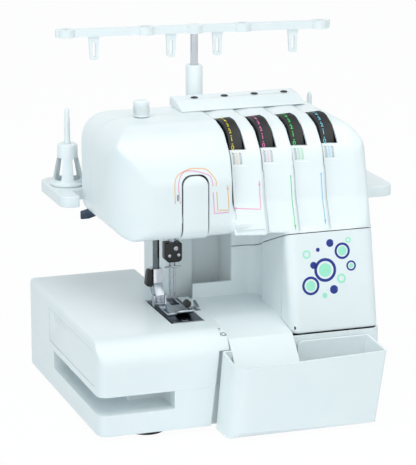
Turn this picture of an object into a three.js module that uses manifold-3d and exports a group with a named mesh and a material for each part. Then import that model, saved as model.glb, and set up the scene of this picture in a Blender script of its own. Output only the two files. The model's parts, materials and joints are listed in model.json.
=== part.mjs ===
// Four-thread serger overlock machine, in millimetres.
// +X is the machine's right, +Y its back and +Z up. Places are measured from the bed's left
// end, the bed's front face and the table; the finished group is then moved so that its
// origin is on the table under the middle of the machine.
import * as THREE from 'three';
import { mergeVertices } from 'three/addons/utils/BufferGeometryUtils.js';
import Module from 'manifold-3d';

const wasm = await Module();
wasm.setup();

// Clearances, walls and facets that many pieces share
const GAP = 0.4;
const WALL = 2.6;
const OVER = 3;
const WELD = 1e-4;
const SAG = 0.3;
const FACET = Math.PI / 8;
const QUARTER = Math.PI / 2;

// Bed extension round the free arm
const BED = {
  length: 133, top: 98, back: 256, frontRound: 25, edge: 4, corner: 9, fold: 2, crease: 1, backRound: 4,
  notchFront: 47, notchBack: 134, notchClear: 2, floor: 2.2, slantFoot: 20.6, slantTop: 11.7, tabLow: 80.7,
};
const DOOR = { front: 18, back: 178, bottom: 52, top: 87, thick: 3, round: 2, pull: 16, pullDepth: 1.6 };
const ARM = { tip: 34, front: 54, back: 128, bottom: 51, top: 92.5, lap: 8, edge: 7, clear: 1 };

// Feet, and the base casing that stands on them
const FOOT = { height: 5.5, radius: 18.5, tread: 15, bevel: 2, inX: 54, inY: 24, rightIn: 30, backIn: 28 };
const BASE = { top: 45, tallTop: 86, edge: 9, front: 6, tallGap: 1, fold: 2 };
const SLOT = { bottom: 27, sideLength: 163, frontLength: 76, depth: 40, round: 6, fold: 2 };

// Column and rear column of the casing
const COLUMN = {
  left: 200, right: 292, back: 240, foot: 9, flareShare: 0.198, edge: 9, rearLeft: 117, rearFront: 150,
  wallY: 125, wallX: 216,
  wallRound: 14, sideRound: 8, rearRound: 3, crease: 1, shoulder: 196, backEdge: 14,
};
const RECESS = { left: 145, right: 177, back: 166 };
const SEAM = { front: 184, back: 149.5, gap: 0.6 };

// Head: the left part has an upright face, the right part leans back over four dials
const HEAD = {
  left: 32, bottom: 182, top: 289, back: 173, face: 41, faceTop: 238, cheek: 42, chin: 14, backLow: 6,
  backHigh: 8, backLeft: 12, leftRound: 32, rightRound: 38, bottomRound: 24, rightCheek: 12, split: 128,
  lap: 6,
};
const BROW = {
  lowY: 27, lowZ: 184, midY: 38, midZ: 213, highY: 47, highZ: 262, topY: 66, topZ: 282, round: 26, flatY: 90,
};

// Tension units, one in each channel
const UNIT = { count: 4, start: 149, pitch: 32, channel: 7.5, drop: 3.5 };
const DIAL = {
  radius: 30.5, width: 15, y: 91, z: 258.5, gap: 1.4, teeth: 22, tooth: 0.9, edge: 1.6, sill: 264.5,
};
const DISC = { radius: 13, thick: 1.4, apart: 3.4, hub: 6, gap: 2.2 };
const TENSION_ROD = { radius: 3, lap: 4 };

// Trim on the head
const TONGUE = { left: 98.5, right: 123.5, top: 245, thick: 3.4, round: 10, gap: 1.1, wrap: 30, proud: 1 };
const LEDGE = { inset: 1.5, endInset: 0.5, reach: 7, z: 188, thick: 4, round: 1 };
const STRIP = {
  left: 127, right: 258, front: 131, back: 170, ridge: 150, rise: 7.6, height: 9.6, lip: 0.8, edge: 3,
  holeY: 158, hole: 2.6,
};
const PRESSURE = { x: 83, y: 125, radius: 8, height: 16, bevel: 2, stem: 3.2, inside: 12 };

// Looper guard and the hinged looper cover
const GUARD = {
  lipTop: 113, lipInset: 3, thick: 2.6, slopeBack: 58, slopeFront: 9, drop: 9, bend: 60, tip: -16, tipZ: 62,
  knee: 12,
};
const COVER = { sideBack: 40, clear: 1, rightBack: 34 };
const HINGE_ROD = { radius: 2, y: 14, rise: 6, leftIn: 6, rightIn: 12, knuckle: 4.4, lug: 12 };

// Waste tray
const TRAY = {
  inset: 10.5, right: 281, frontLeft: -47, frontRight: -38, back: 4.6, backLeft: -1.2, rimFront: 75,
  rimBack: 81.5, bottom: 4, round: 17, fold: 4, crease: 1, wall: 2.4, taperLeft: 6, taperRight: 12, taperY: 3,
  rightTilt: 4, heel: 12, notchIn: 3, notchLow: 55, notchRound: 6,
};

// Stitching area
const PLATE = {
  margin: 11, width: 32, front: 49, back: 132, thick: 2.4, corner: 1, slotWide: 3.2, slotLength: 26,
  needleGap: 0.9,
};
const NEEDLE_BAR = { inset: 12, y: 112, radius: 3.6, bottom: 153, top: 264 };
const FEED = { inset: 8.6, rise: 1.2, teeth: 3, pitch: 4.6, wide: 2, base: 5, split: 1.2, drop: 7, room: 1 };
const CLAMP = { width: 16.5, depth: 13, height: 19.5, round: 4, edge: 1, screw: 1.3, screwOut: 1 };
const CLAMP_SCREW_SHARES = [[-0.25, 0.15], [0.25, 0.15], [0.075, 0.65]];
const NEEDLE = { radius: 0.95, apart: 2.4, point: 105.5, taper: 6, shoulder: 2, shank: 1.3, shankLength: 8 };
const THREAD_BAR = { width: 17, depth: 2.4, height: 1.8, drop: 4.5 };
const PRESSER = { apart: 15, y: 118, radius: 3.4, bottom: 128, top: 268 };
const ANKLE = { width: 9, depth: 13, height: 22, foot: 8, pin: 1.3, clear: 2, round: 1, pinBackShare: 0.75 };
const SOLE = {
  inset: 2, width: 24, front: 60, back: 128, thick: 2.6, edge: 1, toe: 6, toeShare: 1 / 3, slot: 9,
  slotLength: 26, ear: 1.6, earHalf: 4, pinLap: 1,
};

// Loopers and knives beside the needle plate
const LOOPER = {
  y: 104, out: 56, z: 44, arm: 5, depth: 5, hub: 7, reach: 34, point: 1.6, bend: 10, apart: 16, shaft: 3,
  lug: 6, lugBack: 122,
};
const KNIFE = { inset: 2.4, thick: 2, gap: 0.8, front: 84, back: 97, low: 66, edgeDrop: 0.6, rise: 7 };

// Drive
const SHAFT = { y: 167, z: 118, radius: 5, inside: 96, flange: 22, clear: 1 };
const BELT = { inset: 8.4, width: 4.6, thick: 1.6, gap: 0.5 };
const MOTOR = { y: 180, z: 46, radius: 25, length: 62, inset: 24, shaft: 3, pulley: 7, boss: 9, bossLong: 9 };
const WHEEL = { radius: 34, gap: 2, width: 23, rim: 7, web: 8, hub: 12, teeth: 18, tooth: 1.4 };
const FRAME = {
  lap: 7, sill: 3, wallIn: 18.6, wallThick: 8, front: 44, back: 230, armLow: 200, armHigh: 212,
  armFront: 102, armBack: 128, armLeft: 86, postTop: 268, postFront: 77, postBack: 109, round: 8, edge: 4,
  shoulder: 185.6,
};

// Controls on the right side
const LENGTH_DIAL = { y: 70, z: 60, radius: 17, height: 11, stem: 4, inside: 7, teeth: 16, tooth: 0.9 };
const FEED_LEVER = { y: 112, z: 58, hub: 9, height: 5, length: 26, stem: 3.5, inside: 7, grip: 5, edge: 2 };
const SWITCH = {
  front: 206, back: 228, low: 54, high: 68, reach: 3, inside: 6, tilt: 1.6, gap: 1.2, edge: 1,
};
const SOCKET = { front: 202, back: 230, low: 20, high: 42, depth: 8, wall: 2, pin: 1.2, pinApart: 7 };
const LIFTER = { x: 84, z: 193, hub: 8, arm: 50, thick: 4, stem: 3.4, inside: 10, grip: 8, gap: 1 };

// Spool stand and thread antenna
const STAND = {
  left: 7, right: 341, front: 148, wing: 92, thick: 11, edge: 16, wingEdge: 12, fold: 3,
  crease: 1, clear: 6, hollow: 2.4,
};
const MAST = {
  x: 160, y: 191, radius: 8.6, top: 325, collar: 12, collarHigh: 6, rod: 4, rodTop: 361.5, engaged: 54,
};
const BAR = {
  half: 142, width: 7, height: 8, turnDegrees: -6.5, ringInner: 50, ringOuter: 131, ring: 9, hole: 4.3,
};
const HOOK = {
  inner: 24, outer: 103, top: 11, bottom: 8, drop: 24, thick: 4, round: 2, slot: 3, slotLow: 3, slotHigh: 18,
};
const SPOOL = {
  y: 204, pin: 3, tip: 1.4, boss: 9, rise: 79, base: 18.5, neck: 10, height: 42, wall: 2, foot: 3,
  window: 9, windows: 3, band: 7,
};

// Places that follow from the sizes above
const PLATE_RIGHT = BED.length - PLATE.margin;
const PLATE_LEFT = PLATE_RIGHT - PLATE.width;
const NEEDLE_X = PLATE_RIGHT - NEEDLE_BAR.inset;
const PRESSER_X = NEEDLE_X - PRESSER.apart;
const FEED_X = PLATE_LEFT + FEED.inset;
const KNIFE_LEFT = PLATE_RIGHT + KNIFE.inset;
const LOOPER_X = PLATE_RIGHT + LOOPER.out;
const WHEEL_LEFT = COLUMN.right + WHEEL.gap;
const STAND_BOTTOM = COLUMN.shoulder + GAP;
const STAND_TOP = STAND_BOTTOM + STAND.thick;
const PLATE_BOTTOM = BED.top - PLATE.thick;
const CLAMP_BOTTOM = NEEDLE_BAR.bottom - CLAMP.height / 2;
const COVER_BOTTOM = BASE.tallTop + COVER.clear;
const HINGE_Z = BASE.tallTop + HINGE_ROD.rise;
const HINGE_LEFT = COLUMN.left + HINGE_ROD.leftIn;
const HINGE_RIGHT = COLUMN.right - HINGE_ROD.rightIn;
const RIGHT_INNER = COLUMN.right - WALL;
const TALL_LEFT = BED.length + BASE.tallGap;
const NOTCH_LEFT = PLATE_LEFT - BED.notchClear;
const BED_STEP = COLUMN.rearLeft - BED.fold;
const ARM_END = BED.length + ARM.lap;
const TRAY_LEFT = BED.length - TRAY.inset;
const SOLE_LEFT = PLATE_LEFT + SOLE.inset;
const SOLE_RIGHT = SOLE_LEFT + SOLE.width;
const SOLE_EARS = BED.top + SOLE.thick + ANKLE.clear;
const PIN_Y = PRESSER.y - ANKLE.depth * ANKLE.pinBackShare;
const KNIFE_RIGHT = KNIFE_LEFT + 2 * KNIFE.thick + 3 * KNIFE.gap;
const KNIFE_ROOM = 2 * KNIFE.gap;
const GUARD_END = COLUMN.wallX + WALL + 2 * OVER;
const WHEEL_RIGHT = WHEEL_LEFT + WHEEL.width;
const FRAME_WALL = COLUMN.right - FRAME.wallIn;
const FRAME_RIGHT = FRAME_WALL + FRAME.wallThick;
const BELT_LEFT = COLUMN.right - BELT.inset;
const MOTOR_RIGHT = COLUMN.right - MOTOR.inset;
const ROD_LEFT = UNIT.start - TENSION_ROD.lap;

const WHITE = { color: 0xeef3f5, roughness: 0.42, metalness: 0 };
const PALE = { color: 0xdfe7ea, roughness: 0.5, metalness: 0 };
const BLACK = { color: 0x17191c, roughness: 0.5, metalness: 0 };
const RUBBER = { color: 0x1b1b1d, roughness: 0.9, metalness: 0 };
const STEEL = { color: 0xa9adb2, roughness: 0.25, metalness: 1 };
const DARK_STEEL = { color: 0x3b434d, roughness: 0.35, metalness: 1 };
const CAST = { color: 0x8c9298, roughness: 0.6, metalness: 1 };
const BELTING = { color: 0x222222, roughness: 0.8, metalness: 0 };

// Closed surface to solid, and back
function solid(geometry) {
  const bare = geometry.clone();
  bare.deleteAttribute('normal');
  bare.deleteAttribute('uv');
  const merged = mergeVertices(bare, WELD);
  const vertProperties = new Float32Array(merged.attributes.position.array);
  const triVerts = new Uint32Array(merged.index.array);
  return new wasm.Manifold(new wasm.Mesh({ numProp: 3, vertProperties, triVerts }));
}

function surface(manifold) {
  const mesh = manifold.getMesh();
  const geometry = new THREE.BufferGeometry();
  geometry.setAttribute('position', new THREE.BufferAttribute(mesh.vertProperties, 3));
  geometry.setIndex(new THREE.BufferAttribute(mesh.triVerts, 1));
  return geometry;
}

const join = (first, ...others) => others.reduce((whole, piece) => whole.add(piece), first);
const cut = (first, ...others) => others.reduce((whole, piece) => whole.subtract(piece), first);
const common = (first, ...others) => others.reduce((whole, piece) => whole.intersect(piece), first);
const leftOf = (direction) => new THREE.Vector2(-direction.y, direction.x);

// Outline through corners [u, v, radius], counter-clockwise, with every side moved in by inset
function outline(corners, inset = 0) {
  const count = corners.length;
  const points = corners.map(([u, v]) => new THREE.Vector2(u, v));
  const along = points.map((point, i) => points[(i + 1) % count].clone().sub(point).normalize());
  const path = [];
  points.forEach((point, i) => {
    const before = along[(i + count - 1) % count];
    const after = along[i];
    const turn = Math.atan2(before.cross(after), before.dot(after));
    const radius = Math.max((corners[i][2] ?? 0) - Math.sign(turn) * inset, 0);
    const inward = leftOf(before).add(leftOf(after)).multiplyScalar(inset / (1 + before.dot(after)));
    const corner = point.clone().add(inward);
    const start = corner.clone().addScaledVector(before, -radius * Math.tan(Math.abs(turn) / 2));
    const centre = start.clone().addScaledVector(leftOf(before), radius * Math.sign(turn));
    const steps = radius > 0 ? Math.ceil(Math.abs(turn) / FACET) : 0;
    for (let k = 0; k <= steps; k += 1) {
      path.push(start.clone().rotateAround(centre, steps > 0 ? (turn * k) / steps : 0));
    }
  });
  return new THREE.Shape(path);
}

const rectangle = (u0, u1, v0, v1, radius = 0) => outline(
  [[u0, v0, radius], [u1, v0, radius], [u1, v1, radius], [u0, v1, radius]]);

// Prisms: a shape in (x, y), (y, z) or (x, z), drawn out along the third axis
function extruded(shape, depth) {
  return new THREE.ExtrudeGeometry(shape, { depth, bevelEnabled: false });
}

const alongZ = (shape, from, to) => solid(extruded(shape, to - from).translate(0, 0, from));

function geometryAlongX(shape, from, to) {
  const turn = new THREE.Matrix4().makeBasis(
    new THREE.Vector3(0, 1, 0), new THREE.Vector3(0, 0, 1), new THREE.Vector3(1, 0, 0));
  return extruded(shape, to - from).applyMatrix4(turn).translate(from, 0, 0);
}

const alongX = (shape, from, to) => solid(geometryAlongX(shape, from, to));

function alongY(shape, from, to) {
  const turn = new THREE.Matrix4().makeBasis(
    new THREE.Vector3(1, 0, 0), new THREE.Vector3(0, 0, 1), new THREE.Vector3(0, -1, 0));
  return solid(extruded(shape, to - from).applyMatrix4(turn).translate(0, to, 0));
}

const block = (x0, x1, y0, y1, z0, z1) => solid(
  new THREE.BoxGeometry(x1 - x0, y1 - y0, z1 - z0)
    .translate((x0 + x1) / 2, (y0 + y1) / 2, (z0 + z1) / 2));

// Facets that keep a round piece within SAG of its true circle
const facets = (radius) => Math.max(2 * Math.ceil(QUARTER / Math.acos(1 - SAG / radius)), 8);

function rodX(radius, from, to, y, z, end = radius) {
  const rod = new THREE.CylinderGeometry(end, radius, to - from, facets(Math.max(radius, end)));
  return solid(rod.rotateZ(-QUARTER).translate((from + to) / 2, y, z));
}

function rodY(radius, from, to, x, z, end = radius) {
  const rod = new THREE.CylinderGeometry(end, radius, to - from, facets(Math.max(radius, end)));
  return solid(rod.translate(x, (from + to) / 2, z));
}

function rodZ(radius, from, to, x, y, end = radius) {
  const rod = new THREE.CylinderGeometry(end, radius, to - from, facets(Math.max(radius, end)));
  return solid(rod.rotateX(QUARTER).translate(x, y, (from + to) / 2));
}

// Turned piece about a vertical axis, from points [radius, z] that start and end on the axis
function turned(profile, x, y) {
  const points = profile.map(([radius, z]) => new THREE.Vector2(radius, z));
  const widest = Math.max(...profile.map(([radius]) => radius));
  const lathe = new THREE.LatheGeometry(points, facets(widest));
  return solid(lathe.rotateX(QUARTER).translate(x, y, 0));
}

// Moves each vertex of a geometry by what shift returns for it
function warped(geometry, shift) {
  const position = geometry.attributes.position;
  const point = new THREE.Vector3();
  for (let i = 0; i < position.count; i += 1) {
    point.fromBufferAttribute(position, i).add(shift(point));
    position.setXYZ(i, point.x, point.y, point.z);
  }
  return geometry;
}

// Wheel about an X axis with a toothed rim
function toothedWheel(radius, teeth, tooth, from, to, y, z) {
  const rim = [];
  for (let i = 0; i < 2 * teeth; i += 1) {
    const angle = (Math.PI * i) / teeth;
    const reach = i % 2 === 0 ? radius : radius - tooth;
    rim.push(new THREE.Vector2(y + reach * Math.cos(angle), z + reach * Math.sin(angle)));
  }
  return alongX(new THREE.Shape(rim), from, to);
}

const machine = new THREE.Group();
const stage = new THREE.Group();
machine.add(stage);

function place(name, manifold, finish, parent = stage) {
  const mesh = new THREE.Mesh(surface(manifold), new THREE.MeshStandardMaterial(finish));
  mesh.name = name;
  parent.add(mesh);
  return mesh;
}

// The right end of bed and base slants inwards below a short tab
function slantCut(back, grow = 0) {
  const rise = (BED.slantFoot - BED.slantTop) / (BED.tabLow - FOOT.height);
  const low = BED.length - BED.slantFoot - grow;
  const x = (z) => low + (z - FOOT.height) * rise;
  const top = BED.tabLow + grow;
  const right = BED.length + BED.slantFoot;
  return alongY(outline([[x(0), 0], [right, 0], [right, top], [x(top), top]]), -OVER, back + grow);
}

function slotPlan(grow) {
  const side = SLOT.depth + grow;
  const length = SLOT.sideLength + grow;
  const front = SLOT.frontLength + grow;
  const round = SLOT.round + grow;
  return outline([[-OVER, -OVER], [front, -OVER, 0], [front, side, round], [side, side, SLOT.fold],
    [side, length, round], [-OVER, length, 0]]);
}

// Base casing: low under the bed, tall behind the tray and open at the top there
function baseCasing() {
  const lowPlan = [[0, 0, BASE.edge], [BED.length, 0, BASE.fold], [BED.length, BASE.front, 0],
    [COLUMN.right, BASE.front, BASE.edge], [COLUMN.right, BED.back, COLUMN.backEdge],
    [0, BED.back, BED.backRound]];
  const step = BED.notchBack + GAP;
  const tallPlan = [[TALL_LEFT, BASE.front, BASE.fold], [COLUMN.right, BASE.front, BASE.edge],
    [COLUMN.right, COLUMN.back, COLUMN.backEdge], [COLUMN.rearLeft, COLUMN.back, BASE.fold],
    [COLUMN.rearLeft, step, BASE.fold], [TALL_LEFT, step, BASE.fold]];
  const low = alongZ(outline(lowPlan), FOOT.height, BASE.top);
  const tall = alongZ(outline(tallPlan), FOOT.height, BASE.tallTop);
  const floor = FOOT.height + WALL;
  const lowRoom = alongZ(outline(lowPlan, WALL), floor, BASE.top + OVER);
  const tallRoom = alongZ(outline(tallPlan, WALL), floor, BASE.tallTop + OVER);
  const slotWalls = alongZ(slotPlan(WALL), 0, BASE.top + OVER);
  const plinth = block(COLUMN.rearLeft - WALL, COLUMN.right, COLUMN.back - WALL, BED.back, BASE.top - WALL,
    BASE.top + 2 * OVER);
  const through = TALL_LEFT + WALL + OVER;
  const arm = block(TALL_LEFT - OVER, through, ARM.front - ARM.clear, ARM.back + ARM.clear, BASE.top,
    BASE.tallTop + OVER);
  const passage = block(BED.length - OVER, through, BASE.front + WALL, COLUMN.back - WALL, floor,
    BASE.top - WALL);
  const slot = alongZ(slotPlan(0), SLOT.bottom, BASE.top + OVER);
  const apron = block(TALL_LEFT - OVER, COLUMN.left, -OVER, BASE.front + WALL + GAP,
    BASE.tallTop - GUARD.knee, BASE.tallTop + OVER);
  const room = cut(lowRoom, slotWalls, slantCut(BASE.front, WALL), plinth);
  return cut(join(low, tall), room, tallRoom, arm, passage, slot, slantCut(BASE.front), apron,
    ...sideHoles());
}

// Holes in the right side for the controls and the power inlet
function sideHoles() {
  const from = RIGHT_INNER - OVER;
  const to = COLUMN.right + OVER;
  return [
    rodX(LENGTH_DIAL.stem + GAP, from, to, LENGTH_DIAL.y, LENGTH_DIAL.z),
    rodX(FEED_LEVER.stem + GAP, from, to, FEED_LEVER.y, FEED_LEVER.z),
    block(from, to, SWITCH.front - GAP, SWITCH.back + GAP, SWITCH.low - SWITCH.gap,
      SWITCH.high + SWITCH.gap),
    block(from, to, SOCKET.front - GAP, SOCKET.back + GAP, SOCKET.low - GAP, SOCKET.high + GAP),
  ];
}

function foot(x, y) {
  const top = FOOT.height - GAP;
  return turned([[0, 0], [FOOT.tread, 0], [FOOT.radius, FOOT.bevel], [FOOT.radius, top], [0, top]], x, y);
}

// Bed extension: a box that opens to the right over the free arm
const BED_PLAN = [[0, 0, BED.corner], [BED.length, 0, BED.fold], [BED.length, BED.notchFront, BED.crease],
  [NOTCH_LEFT, BED.notchFront, BED.crease], [NOTCH_LEFT, BED.notchBack, BED.crease],
  [BED_STEP, BED.notchBack, BED.crease], [BED_STEP, BED.back, BED.backRound], [0, BED.back, BED.backRound]];

function bedBlock(inset, low, high) {
  const side = outline([[0, low - OVER, 0], [BED.back, low - OVER, 0], [BED.back, BED.top, BED.edge],
    [0, BED.top, BED.frontRound]], inset);
  const front = outline([[0, low - OVER, 0], [BED.length, low - OVER, 0], [BED.length, BED.top, 0],
    [0, BED.top, BED.edge]], inset);
  return common(alongZ(outline(BED_PLAN, inset), low, high), alongX(side, -OVER, BED.length + OVER),
    alongY(front, -OVER, BED.back + OVER));
}

function bedExtension() {
  const bottom = BASE.top + GAP;
  const shell = bedBlock(0, bottom, BED.top);
  const room = cut(bedBlock(WALL, bottom + BED.floor, BED.top - WALL), slantCut(BED.notchFront, WALL));
  const mouth = block(NOTCH_LEFT - WALL - OVER, BED.length + OVER, ARM.front - 2 * WALL, ARM.back + 2 * WALL,
    bottom - OVER, BED.top - WALL);
  const doorway = block(-OVER, DOOR.thick + WALL, DOOR.front, DOOR.back, DOOR.bottom, DOOR.top);
  return cut(shell, room, mouth, doorway, slantCut(BED.notchFront));
}

function compartmentDoor() {
  const shape = rectangle(DOOR.front + GAP, DOOR.back - GAP, DOOR.bottom + GAP, DOOR.top - GAP, DOOR.round);
  const pullY = DOOR.back - 2 * DOOR.pull;
  const pull = block(-OVER, DOOR.pullDepth, pullY, pullY + DOOR.pull, DOOR.top - DOOR.pull / 2,
    DOOR.top + OVER);
  return cut(alongX(shape, 0, DOOR.thick), pull);
}

function freeArm() {
  const tube = alongX(rectangle(ARM.front, ARM.back, ARM.bottom, ARM.top, ARM.edge), ARM.tip, ARM_END);
  const pad = block(PLATE_LEFT, PLATE_RIGHT, PLATE.front + ARM.edge, PLATE.back - ARM.edge, ARM.top - OVER,
    PLATE_BOTTOM - GAP);
  const wellHalf = PLATE.slotLength / 2 + FEED.room;
  const well = block(PLATE_LEFT + WALL, PLATE_RIGHT - WALL, NEEDLE_BAR.y - wellHalf, NEEDLE_BAR.y + wellHalf,
    ARM.bottom + 2 * ARM.edge, BED.top);
  const hollow = rectangle(ARM.front + WALL, ARM.back - WALL, ARM.bottom + WALL, ARM.top - WALL,
    ARM.edge - WALL);
  const bore = alongX(hollow, PLATE_RIGHT, ARM_END + OVER);
  const knives = block(PLATE_RIGHT + GAP, KNIFE_RIGHT, KNIFE.front - KNIFE_ROOM, KNIFE.back + KNIFE_ROOM,
    KNIFE.low, ARM.top + OVER);
  return cut(join(tube, pad), well, bore, knives);
}

// Column of the casing, with its front leaning back as it rises
function leaned(corners, inset, from, to, foot0, slope) {
  const geometry = extruded(outline(corners, inset), to - from).translate(0, 0, from);
  return solid(warped(geometry, (point) => new THREE.Vector3(0, (point.z - foot0) * slope, 0)));
}

const FRONT_PLAN = [[-OVER, 0, 0], [COLUMN.right, 0, COLUMN.edge], [COLUMN.right, 2 * COLUMN.back, 0],
  [-OVER, 2 * COLUMN.back, 0]];
const REAR_PLAN = [[COLUMN.left, -COLUMN.back, 0], [COLUMN.right, -COLUMN.back, 0],
  [COLUMN.right, COLUMN.back, COLUMN.backEdge], [COLUMN.rearLeft, COLUMN.back, COLUMN.backEdge],
  [COLUMN.rearLeft, COLUMN.rearFront, COLUMN.rearRound], [RECESS.left, COLUMN.rearFront, COLUMN.crease],
  [RECESS.left, RECESS.back, COLUMN.crease], [RECESS.right, RECESS.back, COLUMN.crease],
  [RECESS.right, COLUMN.wallY, COLUMN.crease], [COLUMN.wallX, COLUMN.wallY, COLUMN.wallRound],
  [COLUMN.left, COLUMN.wallY - 3 * COLUMN.edge, COLUMN.sideRound]];

function columnBlock(inset) {
  const low = BASE.tallTop + GAP - (inset > 0 ? OVER : 0);
  const high = COLUMN.shoulder - inset;
  const lean = leaned(FRONT_PLAN, inset, low, high, BASE.tallTop, COLUMN.flareShare);
  return common(alongZ(outline(REAR_PLAN, inset), low, high), lean.translate([0, COLUMN.foot, 0]),
    frontEdge(inset, low, high));
}

// Rounds the column's front left edge, which leans back with the face
function frontEdge(inset, low, high) {
  const far = 2 * COLUMN.back;
  const corners = [[COLUMN.left, 0, COLUMN.edge], [COLUMN.right + OVER, 0, 0], [COLUMN.right + OVER, far, 0],
    [-OVER, far, 0], [-OVER, 4 * COLUMN.edge, 0], [COLUMN.left, 4 * COLUMN.edge, 0]];
  return leaned(corners, inset, low, high, BASE.tallTop, COLUMN.flareShare).translate([0, COLUMN.foot, 0]);
}

// Head of the casing
const HEAD_SIDE = [[HEAD.face, HEAD.bottom, HEAD.chin], [HEAD.back, HEAD.bottom, HEAD.backLow],
  [HEAD.back, HEAD.top, HEAD.backHigh], [BROW.flatY, HEAD.top, BROW.round],
  [BROW.topY, BROW.topZ, BROW.round], [BROW.highY, BROW.highZ, BROW.round],
  [HEAD.face, HEAD.faceTop, BROW.round]];

function leftHead(inset) {
  const lap = UNIT.start + HEAD.lap;
  const plan = outline([[HEAD.left, HEAD.face, HEAD.cheek], [lap, HEAD.face, 0], [lap, HEAD.back, 0],
    [HEAD.left, HEAD.back, HEAD.backLeft]], inset);
  return common(alongX(outline(HEAD_SIDE, inset), HEAD.left, UNIT.start + inset),
    alongZ(plan, HEAD.bottom - OVER, HEAD.top + OVER));
}

const BROW_SIDE = [[BROW.lowY, BROW.lowZ, 0], [HEAD.back, BROW.lowZ, HEAD.backLow],
  [HEAD.back, HEAD.top, HEAD.backHigh], [BROW.flatY, HEAD.top, BROW.round],
  [BROW.topY, BROW.topZ, BROW.round], [BROW.highY, BROW.highZ, BROW.round],
  [BROW.midY, BROW.midZ, BROW.round]];

function channel(index, inset) {
  const from = UNIT.start + index * UNIT.pitch;
  const to = from + UNIT.pitch;
  const geometry = geometryAlongX(outline(BROW_SIDE, inset), from, to);
  const middle = (from + to) / 2;
  const front = HEAD.split - OVER;
  const shift = (point) => {
    if (point.x > middle || point.y > front) return new THREE.Vector3();
    return new THREE.Vector3(0, UNIT.channel, point.z > BROW.midZ ? -UNIT.drop : 0);
  };
  return solid(warped(geometry, shift));
}

function rightHead(inset) {
  const last = UNIT.start + UNIT.count * UNIT.pitch;
  const end = alongX(outline(BROW_SIDE, inset), last, COLUMN.right);
  const channels = Array.from({ length: UNIT.count }, (_, index) => channel(index, inset));
  const slope = (BROW.highY - BROW.lowY) / (BROW.highZ - BROW.lowZ);
  const corners = [[0, BROW.lowY, 0], [COLUMN.right, BROW.lowY, HEAD.rightCheek],
    [COLUMN.right, 2 * COLUMN.back, 0], [0, 2 * COLUMN.back, 0]];
  const plan = leaned(corners, inset, BROW.lowZ - OVER, HEAD.top + OVER, BROW.lowZ, slope);
  return common(join(end, ...channels), plan);
}

function headBlock(inset) {
  const front = outline([[HEAD.left, HEAD.bottom, HEAD.bottomRound], [COLUMN.right, HEAD.bottom, 0],
    [COLUMN.right, HEAD.top, HEAD.rightRound], [HEAD.left, HEAD.top, HEAD.leftRound]], inset);
  return common(join(leftHead(inset), rightHead(inset)), alongY(front, -OVER, COLUMN.back));
}

// Everything below the seam, in front of it or under it, belongs to the cover and the guard
function belowSeam(gap, from, to) {
  const front = -COLUMN.back;
  const top = SEAM.front - gap;
  const back = COLUMN.wallY + 2 * WALL;
  const corners = [[front, 0], [back, 0], [back, SEAM.back - gap], [COLUMN.wallY - WALL, SEAM.back - gap],
    [BROW.lowY, top], [front, top]];
  return alongX(outline(corners), from, to);
}

function housingShell() {
  const outer = join(headBlock(0), columnBlock(0));
  const inner = join(headBlock(WALL), columnBlock(WALL));
  return { outer, shell: cut(outer, inner) };
}

const housing = housingShell();

// Windows for the dials, which end at a sill below which the wall hides them
function dialSlots() {
  return dialPlaces().map((from) => {
    const to = from + DIAL.width + DIAL.gap;
    return join(rodX(DIAL.radius + DIAL.gap, from - DIAL.gap, to, DIAL.y, DIAL.z),
      block(from - DIAL.gap, to, 0, DIAL.y, DIAL.sill, HEAD.top + OVER));
  });
}

function dialPlaces() {
  return Array.from({ length: UNIT.count }, (_, index) => UNIT.start + index * UNIT.pitch + 2 * DIAL.gap);
}

function tongueOutline(grow) {
  const left = TONGUE.left - grow;
  const right = TONGUE.right + grow;
  const low = HEAD.bottom - OVER - grow;
  const high = TONGUE.top + grow;
  return outline([[left, low], [right, low], [right, high, TONGUE.round], [left, high, TONGUE.round]]);
}

function frontHousing() {
  const front = common(housing.shell, block(0, COLUMN.right + OVER, -OVER, HEAD.split, 0, HEAD.top + OVER));
  const throat = block(NEEDLE_X - 2 * CLAMP.width, NEEDLE_X + CLAMP.width, NEEDLE_BAR.y - CLAMP.depth,
    HEAD.split + OVER, HEAD.bottom - OVER, HEAD.bottom + 2 * WALL);
  const pressureHole = rodZ(PRESSURE.stem + GAP, HEAD.top - HEAD.leftRound, HEAD.top + OVER, PRESSURE.x,
    PRESSURE.y);
  const tongueSlot = alongY(tongueOutline(TONGUE.gap), -OVER, HEAD.face + WALL + OVER);
  const tongueFloor = block(TONGUE.left - TONGUE.gap, TONGUE.right + TONGUE.gap, HEAD.face,
    HEAD.face + TONGUE.wrap + TONGUE.gap, HEAD.bottom - OVER, HEAD.bottom + HEAD.chin);
  const lip = HEAD.face - LEDGE.reach;
  const root = HEAD.face + OVER;
  const ledgeTop = LEDGE.z + LEDGE.thick;
  const ledge = alongX(outline([[lip, LEDGE.z, LEDGE.round], [root, LEDGE.z, 0], [root, ledgeTop, 0],
    [lip, ledgeTop, LEDGE.round]]), UNIT.start + LEDGE.inset, UNIT.start + UNIT.pitch - LEDGE.endInset);
  const far = COLUMN.right + OVER;
  const coverZone = common(belowSeam(0, 0, far),
    block(0, far, -OVER, COVER.rightBack, 0, SEAM.front + OVER));
  const opened = cut(front, belowSeam(0, 0, GUARD_END), coverZone, throat, pressureHole, tongueSlot,
    tongueFloor, ...dialSlots());
  return join(opened, ledge);
}

function rearHousing() {
  const rear = common(housing.shell, block(0, COLUMN.right + OVER, HEAD.split + GAP, COLUMN.back + OVER, 0,
    HEAD.top + OVER));
  const shaftHole = rodX(SHAFT.radius + SHAFT.clear, RIGHT_INNER - OVER, COLUMN.right + OVER, SHAFT.y,
    SHAFT.z);
  const lifterHole = rodY(LIFTER.stem + GAP, HEAD.back - 2 * OVER, HEAD.back + OVER, LIFTER.x, LIFTER.z);
  return cut(rear, shaftHole, lifterHole);
}

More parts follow.
